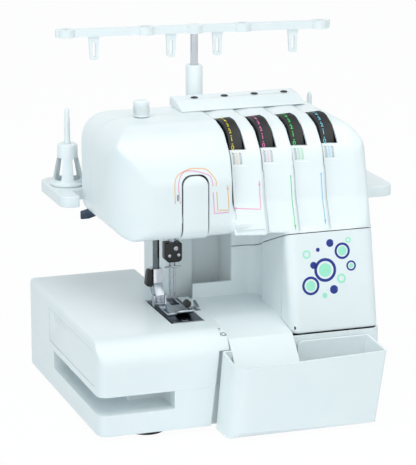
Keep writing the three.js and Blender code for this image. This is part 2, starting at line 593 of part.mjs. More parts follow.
function guideStrip() {
  const low = HEAD.top + GAP;
  const high = low + STRIP.height;
  const side = outline([[STRIP.front, low], [STRIP.back, low], [STRIP.back, high, STRIP.edge],
    [STRIP.ridge, low + STRIP.rise, STRIP.edge], [STRIP.front, low + STRIP.lip]]);
  const front = outline([[STRIP.left, low], [STRIP.right, low], [STRIP.right, high, STRIP.edge],
    [STRIP.left, high, STRIP.edge]]);
  const body = common(alongX(side, STRIP.left, STRIP.right), alongY(front, STRIP.front, STRIP.back));
  const holes = Array.from({ length: UNIT.count }, (_, index) => rodZ(STRIP.hole, low - OVER, high + OVER,
    UNIT.start + index * UNIT.pitch, STRIP.holeY));
  return cut(body, ...holes);
}

// Take-up cover: a tongue that follows the face, stands a little proud and wraps under the chin
function takeUpCover() {
  const skin = cut(alongX(outline(HEAD_SIDE, -TONGUE.proud), TONGUE.left, TONGUE.right),
    alongX(outline(HEAD_SIDE, TONGUE.thick - TONGUE.proud), TONGUE.left - OVER, TONGUE.right + OVER));
  const reach = block(TONGUE.left, TONGUE.right, -OVER, HEAD.face + TONGUE.wrap, 0, HEAD.top);
  return common(skin, alongY(tongueOutline(0), -OVER, HEAD.back), reach);
}

// Looper guard: the shelf beside the needle plate and the wall behind it
function looperGuard() {
  const zone = belowSeam(SEAM.gap, 0, GUARD_END - GAP);
  const sideBlock = block(RECESS.right + GAP, GUARD_END, COVER.sideBack + 2 * GAP, COLUMN.wallY + WALL,
    BASE.tallTop + GAP, SEAM.front);
  const side = common(housing.shell, zone, sideBlock);
  const z = BED.top;
  const under = z - GUARD.thick;
  const back = COLUMN.wallY + GUARD.thick;
  const kneeZ = z - GUARD.drop;
  const shelfSide = outline([[GUARD.tip, GUARD.tipZ - GUARD.thick], [GUARD.slopeFront, kneeZ - GUARD.thick],
    [GUARD.slopeBack, under, GUARD.bend], [back, under], [back, z], [GUARD.slopeBack, z, GUARD.bend],
    [GUARD.slopeFront, kneeZ, GUARD.thick], [GUARD.tip, GUARD.tipZ]]);
  const shelf = cut(alongX(shelfSide, BED.length + GAP, GUARD_END - OVER),
    common(columnBlock(WALL), block(0, COLUMN.right, -OVER, COLUMN.wallY, 0, HEAD.top)),
    block(COLUMN.left - GAP, COLUMN.right, 2 * GUARD.tip, COVER.sideBack + 2 * GAP, 0, HEAD.top));
  const lip = block(BED.length + GUARD.lipInset, RECESS.right + 2 * GUARD.thick, COLUMN.wallY, back, under,
    GUARD.lipTop);
  const edge = block(PLATE_RIGHT + GAP, BED.length + 2 * GAP, BED.notchFront + GAP, BED.notchBack - GAP,
    under, z);
  const knifeWindow = block(PLATE_RIGHT - OVER, KNIFE_RIGHT, KNIFE.front - KNIFE_ROOM,
    KNIFE.back + KNIFE_ROOM, under - GUARD.thick, z + OVER);
  return cut(join(side, shelf, lip, edge), knifeWindow);
}

// Looper cover: the leaning front panel with its returns, hinged along its lower edge
function looperCover() {
  const far = COLUMN.right + OVER;
  const band = join(block(0, GUARD_END - GAP, -OVER, COVER.sideBack, COVER_BOTTOM, SEAM.front),
    block(0, far, -OVER, COVER.rightBack - 2 * SEAM.gap, COVER_BOTTOM, SEAM.front));
  const panel = common(housing.shell, belowSeam(SEAM.gap, 0, far), band);
  const { radius, y, knuckle, lug } = HINGE_ROD;
  const z = HINGE_Z;
  const bore = rodX(radius + GAP, HINGE_LEFT - OVER, HINGE_RIGHT + OVER, y, z);
  const knuckles = [HINGE_LEFT + lug, HINGE_RIGHT - 2 * lug].map((x) => join(rodX(knuckle, x, x + lug, y, z),
    block(x, x + lug, y - knuckle, y, z - GAP, z + knuckle)));
  const room = columnBlock(WALL / 2);
  return cut(join(panel, ...knuckles.map((piece) => common(piece, room))), bore);
}

// Waste tray: tapers downwards, its rim rises to the back, its heel is cut away in front and its back
// wall is notched where the guard's apron comes down into it
function wasteTray() {
  const backStart = BED.length + OVER;
  const corners = [[TRAY_LEFT, TRAY.frontLeft, TRAY.round], [TRAY.right, TRAY.frontRight, TRAY.round],
    [TRAY.right - TRAY.rightTilt, TRAY.back, TRAY.fold], [backStart, TRAY.back, TRAY.crease],
    [backStart, TRAY.backLeft, TRAY.crease], [TRAY_LEFT, TRAY.backLeft, TRAY.fold]];
  const high = TRAY.rimBack + OVER;
  const taper = TRAY.taperRight - TRAY.taperLeft;
  const tapered = (inset, from, to) => solid(warped(
    extruded(outline(corners, inset), to - from).translate(0, 0, from), (point) => {
      const depth = (TRAY.rimFront - point.z) / (TRAY.rimFront - TRAY.bottom);
      const across = (point.x - TRAY_LEFT) / (TRAY.right - TRAY_LEFT);
      const forward = (TRAY.back - point.y) / (TRAY.back - TRAY.frontLeft);
      return new THREE.Vector3(-depth * (TRAY.taperLeft + across * taper), depth * forward * TRAY.taperY, 0);
    }));
  const wide = (corner) => alongX(outline(corner), TRAY_LEFT - 2 * TRAY.taperLeft, TRAY.right + OVER);
  const slope = (TRAY.rimBack - TRAY.rimFront) / (TRAY.back - TRAY.frontLeft);
  const front = 2 * TRAY.frontLeft;
  const back = TRAY.back + OVER;
  const rimAt = (y) => TRAY.rimFront + (y - TRAY.frontLeft) * slope;
  const rimCut = wide([[front, rimAt(front)], [back, rimAt(back)], [back, high + OVER],
    [front, high + OVER]]);
  const right = COLUMN.left + TRAY.notchIn;
  const notch = alongY(outline([[BED.length - GAP, TRAY.notchLow], [right, TRAY.notchLow, TRAY.notchRound],
    [right, TRAY.rimBack, TRAY.notchRound], [right + 2 * TRAY.notchRound, TRAY.rimBack],
    [right + 2 * TRAY.notchRound, high], [BED.length - GAP, high]]), TRAY.backLeft - 2 * TRAY.wall, back);
  const heelFront = TRAY.frontLeft - OVER;
  const heelLow = TRAY.bottom - OVER;
  const heel = wide([[heelFront, heelLow], [TRAY.frontLeft + TRAY.taperY + TRAY.heel, heelLow],
    [heelFront, TRAY.bottom + TRAY.heel]]);
  const outer = cut(tapered(0, TRAY.bottom, high), heel);
  const inner = cut(tapered(TRAY.wall, TRAY.bottom + TRAY.wall, high + OVER),
    heel.translate([0, TRAY.wall, TRAY.wall]));
  return cut(outer, inner, rimCut, notch);
}

function hingeRod() {
  return rodX(HINGE_ROD.radius, HINGE_LEFT, HINGE_RIGHT, HINGE_ROD.y, HINGE_Z);
}

// Needle plate with slots for the feed teeth
const feedRows = Array.from({ length: FEED.teeth }, (_, index) => FEED_X + (index - 1) * FEED.pitch);

function needlePlate() {
  const shape = rectangle(PLATE_LEFT, PLATE_RIGHT, PLATE.front, PLATE.back, PLATE.corner);
  const plate = alongZ(shape, PLATE_BOTTOM, BED.top);
  const half = PLATE.slotWide / 2;
  const slots = feedRows.map((x) => block(x - half, x + half, NEEDLE_BAR.y - PLATE.slotLength / 2,
    NEEDLE_BAR.y + PLATE.slotLength / 2, PLATE_BOTTOM - OVER, BED.top + OVER));
  const reach = NEEDLE.apart + NEEDLE.radius + PLATE.needleGap;
  const needleSlot = block(NEEDLE_X - reach, NEEDLE_X + reach, NEEDLE_BAR.y - 2 * NEEDLE.radius,
    NEEDLE_BAR.y + 2 * NEEDLE.radius, PLATE_BOTTOM - OVER, BED.top + OVER);
  return cut(plate, needleSlot, ...slots);
}

function feedDog(back) {
  const half = (PLATE.slotLength - FEED.base) / 2;
  const y0 = back ? NEEDLE_BAR.y + FEED.split / 2 : NEEDLE_BAR.y - half;
  const y1 = back ? NEEDLE_BAR.y + half : NEEDLE_BAR.y - FEED.split / 2;
  const bridge = block(feedRows[0] - FEED.wide / 2, feedRows[FEED.teeth - 1] + FEED.wide / 2, y0, y1,
    PLATE_BOTTOM - FEED.drop, PLATE_BOTTOM - FEED.rise);
  const rows = feedRows.map((x) => block(x - FEED.wide / 2, x + FEED.wide / 2, y0, y1,
    PLATE_BOTTOM - FEED.drop, BED.top - FEED.rise / 4));
  return join(bridge, ...rows);
}

// Upright bar that slides in the frame's arm
const guidedBar = ({ radius, bottom, top, y }, x) => rodZ(radius, bottom + GAP, top, x, y);

function needleClamp() {
  const x = NEEDLE_X;
  const { y } = NEEDLE_BAR;
  const top = CLAMP_BOTTOM + CLAMP.height;
  const half = CLAMP.width / 2;
  const front = outline([[x - half, CLAMP_BOTTOM, CLAMP.round], [x + half, CLAMP_BOTTOM, CLAMP.round],
    [x + half, top, CLAMP.edge], [x - half, top, CLAMP.edge]]);
  const face = y - CLAMP.depth / 2;
  const body = alongY(front, face, face + CLAMP.depth);
  const screws = CLAMP_SCREW_SHARES.map(([across, up]) => rodY(CLAMP.screw, face - CLAMP.screwOut, y,
    x + across * CLAMP.width, CLAMP_BOTTOM + up * CLAMP.height));
  const low = CLAMP_BOTTOM - THREAD_BAR.drop;
  const barBack = y - NEEDLE.shank - GAP;
  const barFront = barBack - THREAD_BAR.depth;
  const foot = low - THREAD_BAR.height;
  const bar = block(x - THREAD_BAR.width / 2, x + THREAD_BAR.width / 2, barFront, barBack, foot, low);
  const stem = block(x - THREAD_BAR.depth, x + THREAD_BAR.depth, barFront, barBack, foot,
    CLAMP_BOTTOM + OVER);
  const bores = [-1, 1].map((side) => rodZ(NEEDLE.shank + GAP / 2, CLAMP_BOTTOM - OVER,
    CLAMP_BOTTOM + NEEDLE.shankLength, x + side * NEEDLE.apart, y));
  const barBore = rodZ(NEEDLE_BAR.radius + GAP / 2, NEEDLE_BAR.bottom, top + OVER, x, y);
  return cut(join(body, ...screws, bar, stem), ...bores, barBore);
}

function needle(side) {
  const x = NEEDLE_X + side * NEEDLE.apart;
  const top = CLAMP_BOTTOM + NEEDLE.shankLength - GAP;
  return turned([[0, NEEDLE.point], [NEEDLE.radius, NEEDLE.point + NEEDLE.taper],
    [NEEDLE.radius, CLAMP_BOTTOM - NEEDLE.shoulder], [NEEDLE.shank, CLAMP_BOTTOM], [NEEDLE.shank, top],
    [0, top]], x, NEEDLE_BAR.y);
}

// Presser ankle: a block on the presser bar with a shin that reaches forward to the sole's pin
function presserAnkle() {
  const x = PRESSER_X;
  const { y } = PRESSER;
  const left = x - ANKLE.width / 2;
  const right = x + ANKLE.width / 2;
  const front = y - ANKLE.depth / 2;
  const back = y + ANKLE.depth / 2;
  const toe = y - ANKLE.depth;
  const top = PRESSER.bottom + ANKLE.foot;
  const middle = top - ANKLE.height;
  const low = SOLE_EARS;
  const { round } = ANKLE;
  const shin = alongX(outline([[toe, low, round], [front, low, round], [back, middle, round],
    [back, middle + ANKLE.foot, round], [front, middle + ANKLE.foot, round],
    [toe, low + ANKLE.foot, round]]), left, right);
  const bore = rodZ(PRESSER.radius + GAP / 2, PRESSER.bottom, top + OVER, x, y);
  const pin = rodX(ANKLE.pin + GAP, left - OVER, right + OVER, PIN_Y, low + ANKLE.foot / 2);
  return cut(join(block(left, right, front, back, middle, top), shin), bore, pin);
}

// Presser sole: a ski with a raised toe, ears round the ankle and a slot under the needles
function presserSole() {
  const x = PRESSER_X;
  const z = BED.top + GAP;
  const bend = SOLE.front + 2 * SOLE.toe;
  const ski = alongX(outline([[SOLE.front, z + SOLE.toe, 0], [bend, z, 0], [SOLE.back, z, 0],
    [SOLE.back, z + SOLE.thick, SOLE.edge], [bend, z + SOLE.thick, 0],
    [SOLE.front, z + SOLE.toe + SOLE.thick, SOLE.edge]]), SOLE_LEFT, SOLE_RIGHT);
  const half = SOLE.slot / 2;
  const slot = block(NEEDLE_X - half, NEEDLE_X + half, NEEDLE_BAR.y - SOLE.slotLength / 2,
    NEEDLE_BAR.y + SOLE.slotLength / 2, z - OVER, z + 2 * SOLE.thick);
  const ears = [-1, 1].map((side) => {
    const inner = x + side * (ANKLE.width / 2 + GAP);
    const outer = inner + side * SOLE.ear;
    return block(Math.min(inner, outer), Math.max(inner, outer), PIN_Y - SOLE.earHalf,
      PIN_Y + SOLE.earHalf, z, SOLE_EARS + ANKLE.foot);
  });
  const reach = ANKLE.width / 2 + SOLE.pinLap;
  const pin = rodX(ANKLE.pin, x - reach, x + reach, PIN_Y, SOLE_EARS + ANKLE.foot / 2);
  const toeCut = block(SOLE_LEFT - OVER, SOLE_LEFT + SOLE.width * SOLE.toeShare, SOLE.front - OVER, bend,
    z - OVER, z + 2 * SOLE.toe);
  return join(cut(ski, slot, toeCut), ...ears, pin);
}

function presserLifter() {
  const front = HEAD.back + LIFTER.gap;
  const back = front + LIFTER.thick;
  const { x, z, grip } = LIFTER;
  const end = x - LIFTER.arm;
  const hub = rodY(LIFTER.hub, front, back, x, z);
  const stem = rodY(LIFTER.stem, HEAD.back - LIFTER.inside, front + OVER, x, z);
  const arm = alongY(outline([[end, z - 2 * grip], [end + grip, z - 2 * grip], [x, z - LIFTER.hub / 2],
    [x, z + LIFTER.hub / 2], [end, z - grip]]), front, back);
  return join(hub, stem, arm);
}

function pressureDial() {
  const low = HEAD.top + GAP;
  const high = low + PRESSURE.height;
  const foot = low - PRESSURE.inside;
  const { x, y, radius, stem, bevel } = PRESSURE;
  return turned([[0, foot], [stem, foot], [stem, low], [radius, low], [radius, high - bevel],
    [radius - bevel, high], [0, high]], x, y);
}

function tensionDial(from) {
  const to = from + DIAL.width;
  const { radius, teeth, tooth, edge, y, z } = DIAL;
  const wheel = toothedWheel(radius, teeth, tooth, from + edge, to - edge, y, z);
  const core = rodX(radius - edge, from, to, y, z);
  const bore = rodX(TENSION_ROD.radius + GAP, from - OVER, to + OVER, y, z);
  const room = rodX(radius - 3 * edge, from + 2 * edge, to + OVER, y, z);
  const boss = rodX(2 * TENSION_ROD.radius, from, to, y, z);
  return cut(join(cut(join(wheel, core), room), boss), bore);
}

function tensionDiscs(dialRight) {
  const from = dialRight + DISC.gap;
  const second = from + DISC.thick + DISC.apart;
  const plates = [from, second].map((x) => rodX(DISC.radius, x, x + DISC.thick, DIAL.y, DIAL.z));
  const hub = rodX(DISC.hub, from, second + DISC.thick, DIAL.y, DIAL.z);
  const bore = rodX(TENSION_ROD.radius + GAP, from - OVER, second + 2 * OVER, DIAL.y, DIAL.z);
  return cut(join(...plates, hub), bore);
}

// Machine frame: a sill, an upright wall and the arm that guides the needle and presser bars
function machineFrame() {
  const floor = FOOT.height + WALL + GAP;
  const sill = block(BED.length + FRAME.lap, FRAME_RIGHT, FRAME.front, FRAME.back, floor, floor + FRAME.sill);
  const inner = HEAD.back - 2 * WALL;
  const wall = alongX(outline([[FRAME.front, floor], [FRAME.back, floor], [FRAME.back, SHAFT.z, FRAME.round],
    [inner, FRAME.shoulder, FRAME.edge], [inner, FRAME.armHigh, FRAME.edge],
    [FRAME.postBack, FRAME.armHigh, FRAME.edge], [FRAME.postBack, FRAME.postTop, FRAME.edge],
    [FRAME.postFront, FRAME.postTop, FRAME.edge], [FRAME.postFront, FRAME.armHigh, FRAME.edge],
    [FRAME.front, BASE.tallTop, FRAME.round]]), FRAME_WALL, FRAME_RIGHT);
  const arm = block(FRAME.armLeft, FRAME_WALL + OVER, FRAME.armFront, FRAME.armBack, FRAME.armLow,
    FRAME.armHigh);
  const x = LOOPER_X;
  const { z, hub, lug, lugBack } = LOOPER;
  const bearing = join(rodY(hub, lugBack - lug, lugBack, x, z),
    block(x - hub, x + hub, lugBack - lug, lugBack, floor, z));
  const from = FRAME_WALL - OVER;
  const to = FRAME_RIGHT + OVER;
  const low = FRAME.armLow - OVER;
  const high = FRAME.armHigh + OVER;
  return cut(join(sill, wall, arm, bearing), rodY(LOOPER.shaft + GAP, LOOPER.y, lugBack + OVER, x, z),
    rodX(SHAFT.radius + GAP, from, to, SHAFT.y, SHAFT.z), rodX(MOTOR.boss + GAP, from, to, MOTOR.y, MOTOR.z),
    rodX(TENSION_ROD.radius + GAP, from, to, DIAL.y, DIAL.z),
    rodZ(NEEDLE_BAR.radius + GAP, low, high, NEEDLE_X, NEEDLE_BAR.y),
    rodZ(PRESSER.radius + GAP, low, high, PRESSER_X, PRESSER.y));
}

function mainShaft() {
  const shaft = rodX(SHAFT.radius, COLUMN.right - SHAFT.inside, WHEEL_RIGHT - WHEEL.rim, SHAFT.y, SHAFT.z);
  return join(shaft, rodX(SHAFT.flange, BELT_LEFT, BELT_LEFT + BELT.width, SHAFT.y, SHAFT.z));
}

function handwheel() {
  const to = WHEEL_RIGHT;
  const rim = toothedWheel(WHEEL.radius, WHEEL.teeth, WHEEL.tooth, WHEEL_LEFT, to, SHAFT.y, SHAFT.z);
  const dish = rodX(WHEEL.radius - WHEEL.rim, to - WHEEL.web, to + OVER, SHAFT.y, SHAFT.z);
  const hub = rodX(WHEEL.hub, WHEEL_LEFT, to - GAP, SHAFT.y, SHAFT.z);
  const bore = rodX(SHAFT.radius + GAP / 2, WHEEL_LEFT - OVER, to - WHEEL.rim + GAP, SHAFT.y, SHAFT.z);
  return cut(join(cut(rim, dish), hub), bore);
}

function motor() {
  const can = rodX(MOTOR.radius, MOTOR_RIGHT - MOTOR.length, MOTOR_RIGHT, MOTOR.y, MOTOR.z);
  return join(can, rodX(MOTOR.boss, MOTOR_RIGHT - OVER, MOTOR_RIGHT + MOTOR.bossLong, MOTOR.y, MOTOR.z));
}

function motorPulley() {
  const start = MOTOR_RIGHT + MOTOR.bossLong + GAP;
  const shaft = rodX(MOTOR.shaft, start, BELT_LEFT + BELT.width, MOTOR.y, MOTOR.z);
  return join(shaft, rodX(MOTOR.pulley, BELT_LEFT, BELT_LEFT + BELT.width, MOTOR.y, MOTOR.z));
}

// Flat belt in an open loop round both pulleys
function driveBelt() {
  const start = new THREE.Vector2(SHAFT.y, SHAFT.z);
  const end = new THREE.Vector2(MOTOR.y, MOTOR.z);
  const distance = start.distanceTo(end);
  const heading = Math.atan2(end.y - start.y, end.x - start.x);
  const loop = (grow) => {
    const big = SHAFT.flange + grow;
    const small = MOTOR.pulley + grow;
    const spread = Math.acos((big - small) / distance);
    const path = [];
    const arc = (centre, radius, from, to, steps) => {
      for (let k = 0; k <= steps; k += 1) {
        const angle = from + ((to - from) * k) / steps;
        const reach = new THREE.Vector2(radius, 0);
        path.push(reach.rotateAround(new THREE.Vector2(), angle).add(centre));
      }
    };
    arc(start, big, heading + spread, heading - spread + 2 * Math.PI, facets(big));
    arc(end, small, heading - spread, heading + spread, facets(small));
    return new THREE.Shape(path);
  };
  const grow = BELT.gap + SAG;
  return cut(alongX(loop(grow + BELT.thick), BELT_LEFT, BELT_LEFT + BELT.width),
    alongX(loop(grow), BELT_LEFT - OVER, BELT_LEFT + BELT.width + OVER));
}

// Loopers: curved fingers on their own rocking hubs, low behind the guard
function looper(index) {
  const y = LOOPER.y - index * LOOPER.apart;
  const x = LOOPER_X;
  const { z } = LOOPER;
  const top = z + LOOPER.reach - index * LOOPER.arm;
  const half = LOOPER.arm / 2;
  const high = top + LOOPER.arm;
  const end = x - LOOPER.reach;
  const shape = outline([[x - half, z, 0], [x + half, z, 0], [x + half, high, LOOPER.bend], [end, high, 0],
    [end, high - LOOPER.point, 0], [x - half, top, LOOPER.bend - LOOPER.arm / 2]]);
  const hub = rodY(LOOPER.hub, y, y + LOOPER.depth, x, z);
  const bore = rodY(LOOPER.shaft + GAP, y - OVER, y + LOOPER.depth + OVER, x, z);
  return cut(join(alongY(shape, y, y + LOOPER.depth), hub), bore);
}

function looperShaft() {
  return rodY(LOOPER.shaft, LOOPER.y - LOOPER.apart - LOOPER.depth, LOOPER.lugBack, LOOPER_X, LOOPER.z);
}

function lowerKnife() {
  const top = BED.top - KNIFE.edgeDrop;
  return block(KNIFE_LEFT, KNIFE_LEFT + KNIFE.thick, KNIFE.front, KNIFE.back, KNIFE.low, top);
}

function upperKnife() {
  const x = KNIFE_LEFT + KNIFE.thick + KNIFE.gap;
  const side = outline([[KNIFE.front, KNIFE.low], [KNIFE.back, KNIFE.low],
    [KNIFE.back, BED.top + KNIFE.rise], [KNIFE.front, BED.top + KNIFE.rise / 2]]);
  return alongX(side, x, x + KNIFE.thick);
}

function lengthDial() {
  const from = COLUMN.right + GAP;
  const { radius, teeth, tooth, height, stem, inside, y, z } = LENGTH_DIAL;
  const dial = toothedWheel(radius, teeth, tooth, from, from + height, y, z);
  return join(dial, rodX(stem, COLUMN.right - inside, from + OVER, y, z));
}

function feedLever() {
  const from = COLUMN.right + GAP;
  const { y, z, grip, height, edge } = FEED_LEVER;
  const end = z + FEED_LEVER.length;
  const hub = rodX(FEED_LEVER.hub, from, from + height, y, z);
  const stem = rodX(FEED_LEVER.stem, COLUMN.right - FEED_LEVER.inside, from + OVER, y, z);
  const arm = alongX(outline([[y - grip, z, 0], [y + grip, z, 0], [y + grip / 2, end, edge],
    [y - grip / 2, end, edge]]), from, from + height);
  const knob = block(from, from + 2 * height, y - grip / 2, y + grip / 2, end - grip, end);
  return join(hub, stem, arm, knob);
}

function powerSwitch() {
  const x = COLUMN.right;
  const middle = (SWITCH.low + SWITCH.high) / 2;
  const outer = x + SWITCH.reach;
  const inner = x - SWITCH.inside;
  const shape = outline([[inner, SWITCH.low, SWITCH.edge], [outer - SWITCH.tilt, SWITCH.low],
    [outer - 2 * SWITCH.tilt, middle], [outer, SWITCH.high], [inner, SWITCH.high, SWITCH.edge]]);
  return alongY(shape, SWITCH.front, SWITCH.back);
}

function powerSocket() {
  const x = COLUMN.right;
  const { front, back, low, high, depth, wall, pin, pinApart } = SOCKET;
  const body = block(x - depth, x + GAP, front, back, low, high);
  const room = block(x - depth + wall, x + OVER, front + wall, back - wall, low + wall, high - wall);
  const middle = (front + back) / 2;
  const height = (low + high) / 2;
  const pins = [-1, 1].map((side) => rodX(pin, x - depth, x - wall, middle + side * pinApart, height));
  return join(cut(body, room), ...pins);
}

// Spool stand with its four pins, wrapped round the back of the head
const ringPlaces = [-BAR.ringOuter, -BAR.ringInner, BAR.ringInner, BAR.ringOuter];
const spoolPlaces = ringPlaces.map((offset) => MAST.x + offset);

function spoolStand() {
  const bodyLeft = HEAD.left - STAND.clear;
  const bodyBack = HEAD.back + STAND.clear;
  const bodyRight = COLUMN.right + STAND.clear;
  const plan = [[STAND.left, STAND.front, STAND.wingEdge], [bodyLeft, STAND.front, STAND.fold],
    [bodyLeft, bodyBack, STAND.crease], [bodyRight, bodyBack, STAND.crease],
    [bodyRight, STAND.wing, STAND.fold],
    [STAND.right, STAND.wing, STAND.wingEdge], [STAND.right, COLUMN.back, STAND.edge],
    [STAND.left, COLUMN.back, STAND.edge]];
  const plate = alongZ(outline(plan), STAND_BOTTOM, STAND_TOP);
  const under = cut(alongZ(outline(plan, STAND.hollow), STAND_BOTTOM - OVER, STAND_TOP - STAND.hollow),
    block(COLUMN.rearLeft - OVER, COLUMN.right, HEAD.back, COLUMN.back, STAND_BOTTOM - 2 * OVER, STAND_TOP),
    ...spoolPlaces.map((x) => rodZ(SPOOL.boss, STAND_BOTTOM, STAND_TOP, x, SPOOL.y)));
  const pinTop = STAND_TOP + SPOOL.rise;
  const pins = spoolPlaces.map((x) => rodZ(SPOOL.pin, STAND_BOTTOM, pinTop, x, SPOOL.y, SPOOL.tip));
  const mastBore = rodZ(MAST.radius + GAP / 2, STAND_TOP - STAND.thick / 2, STAND_TOP + OVER, MAST.x, MAST.y);
  return cut(join(cut(plate, under), ...pins), mastBore);
}

// Open cone that steadies a thread cone on its pin
function spoolCone(x) {
  const low = STAND_TOP + GAP;
  const top = low + SPOOL.height;
  const waist = SPOOL.base - SPOOL.foot;
  const inside = waist - SPOOL.wall;
  const roof = top - SPOOL.wall;
  const step = low + SPOOL.foot;
  const outer = turned([[0, low], [SPOOL.base, low], [SPOOL.base, step], [waist, step], [SPOOL.neck, top],
    [0, top]], x, SPOOL.y);
  const room = turned([[0, low - OVER], [inside, low - OVER], [inside, low], [SPOOL.neck - SPOOL.wall, roof],
    [0, roof]], x, SPOOL.y);
  const bore = rodZ(SPOOL.pin + GAP, low - OVER, top + OVER, x, SPOOL.y);
  const windows = Array.from({ length: SPOOL.windows }, (_, index) => {
    const half = SPOOL.window / 2;
    const window = block(0, SPOOL.base, -half, half, low + SPOOL.band, top - SPOOL.band);
    const turn = (360 / SPOOL.windows) * index + 90 / SPOOL.windows;
    return window.rotate([0, 0, turn]).translate([x, SPOOL.y, 0]);
  });
  return cut(outer, room, bore, ...windows);
}

function antennaTube() {
  const low = STAND_TOP - STAND.thick / 2 + GAP;
  const { x, y } = MAST;
  const tube = rodZ(MAST.radius, low, MAST.top, x, y);
  const collar = rodZ(MAST.collar, STAND_TOP + GAP, STAND_TOP + GAP + MAST.collarHigh, x, y);
  const bore = rodZ(MAST.rod + GAP, low + WALL, MAST.top + OVER, x, y);
  return cut(join(tube, collar), bore);
}

const antennaRod = () => rodZ(MAST.rod, MAST.top - MAST.engaged, MAST.rodTop, MAST.x, MAST.y);

// Thread antenna, drawn about its own post and set down by its group
function antennaBar() {
  const low = 0;
  const half = BAR.width / 2;
  const beam = alongZ(rectangle(-BAR.half, BAR.half, -half, half, half - GAP), low, BAR.height);
  const rings = ringPlaces.map((x) => rodZ(BAR.ring, low, BAR.height, x, 0));
  const holes = ringPlaces.map((x) => rodZ(BAR.hole, low - OVER, BAR.height + OVER, x, 0));
  const hub = rodZ(MAST.radius, low, BAR.height, 0, 0);
  const socket = rodZ(MAST.rod + GAP, low - OVER, BAR.height / 2, 0, 0);
  const { bottom, top, drop, round, thick, slot } = HOOK;
  const hooks = [-HOOK.outer, -HOOK.inner, HOOK.inner, HOOK.outer].map((x) => cut(
    alongY(outline([[x - bottom / 2, -drop, round], [x + bottom / 2, -drop, round],
      [x + top / 2, BAR.height / 2], [x - top / 2, BAR.height / 2]]), -thick / 2, thick / 2),
    block(x - slot / 2, x + slot / 2, -thick, thick, HOOK.slotLow - drop, HOOK.slotHigh - drop)));
  return cut(join(beam, ...rings, hub, ...hooks), ...holes, socket);
}

// Assembly
place('base_casing', baseCasing(), WHITE);
const footX = [['left', FOOT.inX], ['right', COLUMN.right - FOOT.rightIn]];
const footY = [['front', FOOT.inY], ['rear', BED.back - FOOT.backIn]];
for (const [row, y] of footY) {
  for (const [side, x] of footX) {
    place(`foot_${row}_${side}`, foot(x, y), RUBBER);
  }
}
place('bed_extension', bedExtension(), WHITE);
place('compartment_door', compartmentDoor(), WHITE);
place('free_arm', freeArm(), PALE);
place('front_housing', frontHousing(), WHITE);
place('rear_housing', rearHousing(), WHITE);
place('thread_guide_strip', guideStrip(), WHITE);
place('take_up_cover', takeUpCover(), WHITE);
place('looper_guard', looperGuard(), WHITE);
place('looper_cover', looperCover(), WHITE);
place('cover_hinge_rod', hingeRod(), STEEL);
place('waste_tray', wasteTray(), WHITE);
place('needle_plate', needlePlate(), DARK_STEEL);
place('feed_dog_main', feedDog(true), DARK_STEEL);
place('feed_dog_differential', feedDog(false), DARK_STEEL);
place('needle_bar', guidedBar(NEEDLE_BAR, NEEDLE_X), STEEL);
place('needle_clamp', needleClamp(), BLACK);
place('needle_left', needle(-1), STEEL);
place('needle_right', needle(1), STEEL);
place('presser_bar', guidedBar(PRESSER, PRESSER_X), DARK_STEEL);
place('presser_ankle', presserAnkle(), DARK_STEEL);
place('presser_sole', presserSole(), DARK_STEEL);
place('presser_lifter', presserLifter(), PALE);
place('pressure_dial', pressureDial(), WHITE);
dialPlaces().forEach((from, index) => {
  place(`tension_dial_${index + 1}`, tensionDial(from), BLACK);
  place(`tension_discs_${index + 1}`, tensionDiscs(from + DIAL.width), STEEL);
});
place('tension_rod', rodX(TENSION_ROD.radius, ROD_LEFT, FRAME_RIGHT, DIAL.y, DIAL.z), STEEL);
place('machine_frame', machineFrame(), CAST);
place('main_shaft', mainShaft(), STEEL);
place('handwheel', handwheel(), WHITE);
place('motor', motor(), DARK_STEEL);
place('motor_pulley', motorPulley(), STEEL);
place('drive_belt', driveBelt(), BELTING);
place('upper_looper', looper(1), STEEL);
place('lower_looper', looper(0), STEEL);
place('looper_shaft', looperShaft(), STEEL);
place('lower_knife', lowerKnife(), STEEL);
place('upper_knife', upperKnife(), STEEL);
place('stitch_length_dial', lengthDial(), PALE);
place('differential_feed_lever', feedLever(), PALE);
place('power_switch', powerSwitch(), BLACK);
place('power_socket', powerSocket(), BLACK);
place('spool_stand', spoolStand(), WHITE);
spoolPlaces.forEach((x, index) => place(`spool_cone_${index + 1}`, spoolCone(x), WHITE));
place('antenna_tube', antennaTube(), WHITE);
place('antenna_rod', antennaRod(), STEEL);

const antenna = new THREE.Group();
antenna.position.set(MAST.x, MAST.y, MAST.rodTop + GAP - BAR.height / 2);
antenna.rotation.z = THREE.MathUtils.degToRad(BAR.turnDegrees);
stage.add(antenna);
place('antenna_bar', antennaBar(), WHITE, antenna);

// The origin goes on the table, under the middle of the whole machine
const extent = new THREE.Box3().setFromObject(stage);
const middle = extent.getCenter(new THREE.Vector3());
stage.position.set(-middle.x, -middle.y, -extent.min.z);

export default machine;
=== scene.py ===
"""Serger overlock machine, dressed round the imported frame.

Pieces are modelled in millimetres from the bed's front left corner on the table, with +X to the
machine's right, +Y to its back and +Z up, and are then set down in the frame's metres.
"""
import json
import logging
import math
from collections.abc import Callable, Iterable
from dataclasses import dataclass, replace
from enum import Enum

import bmesh
import bpy
from mathutils import Matrix, Vector


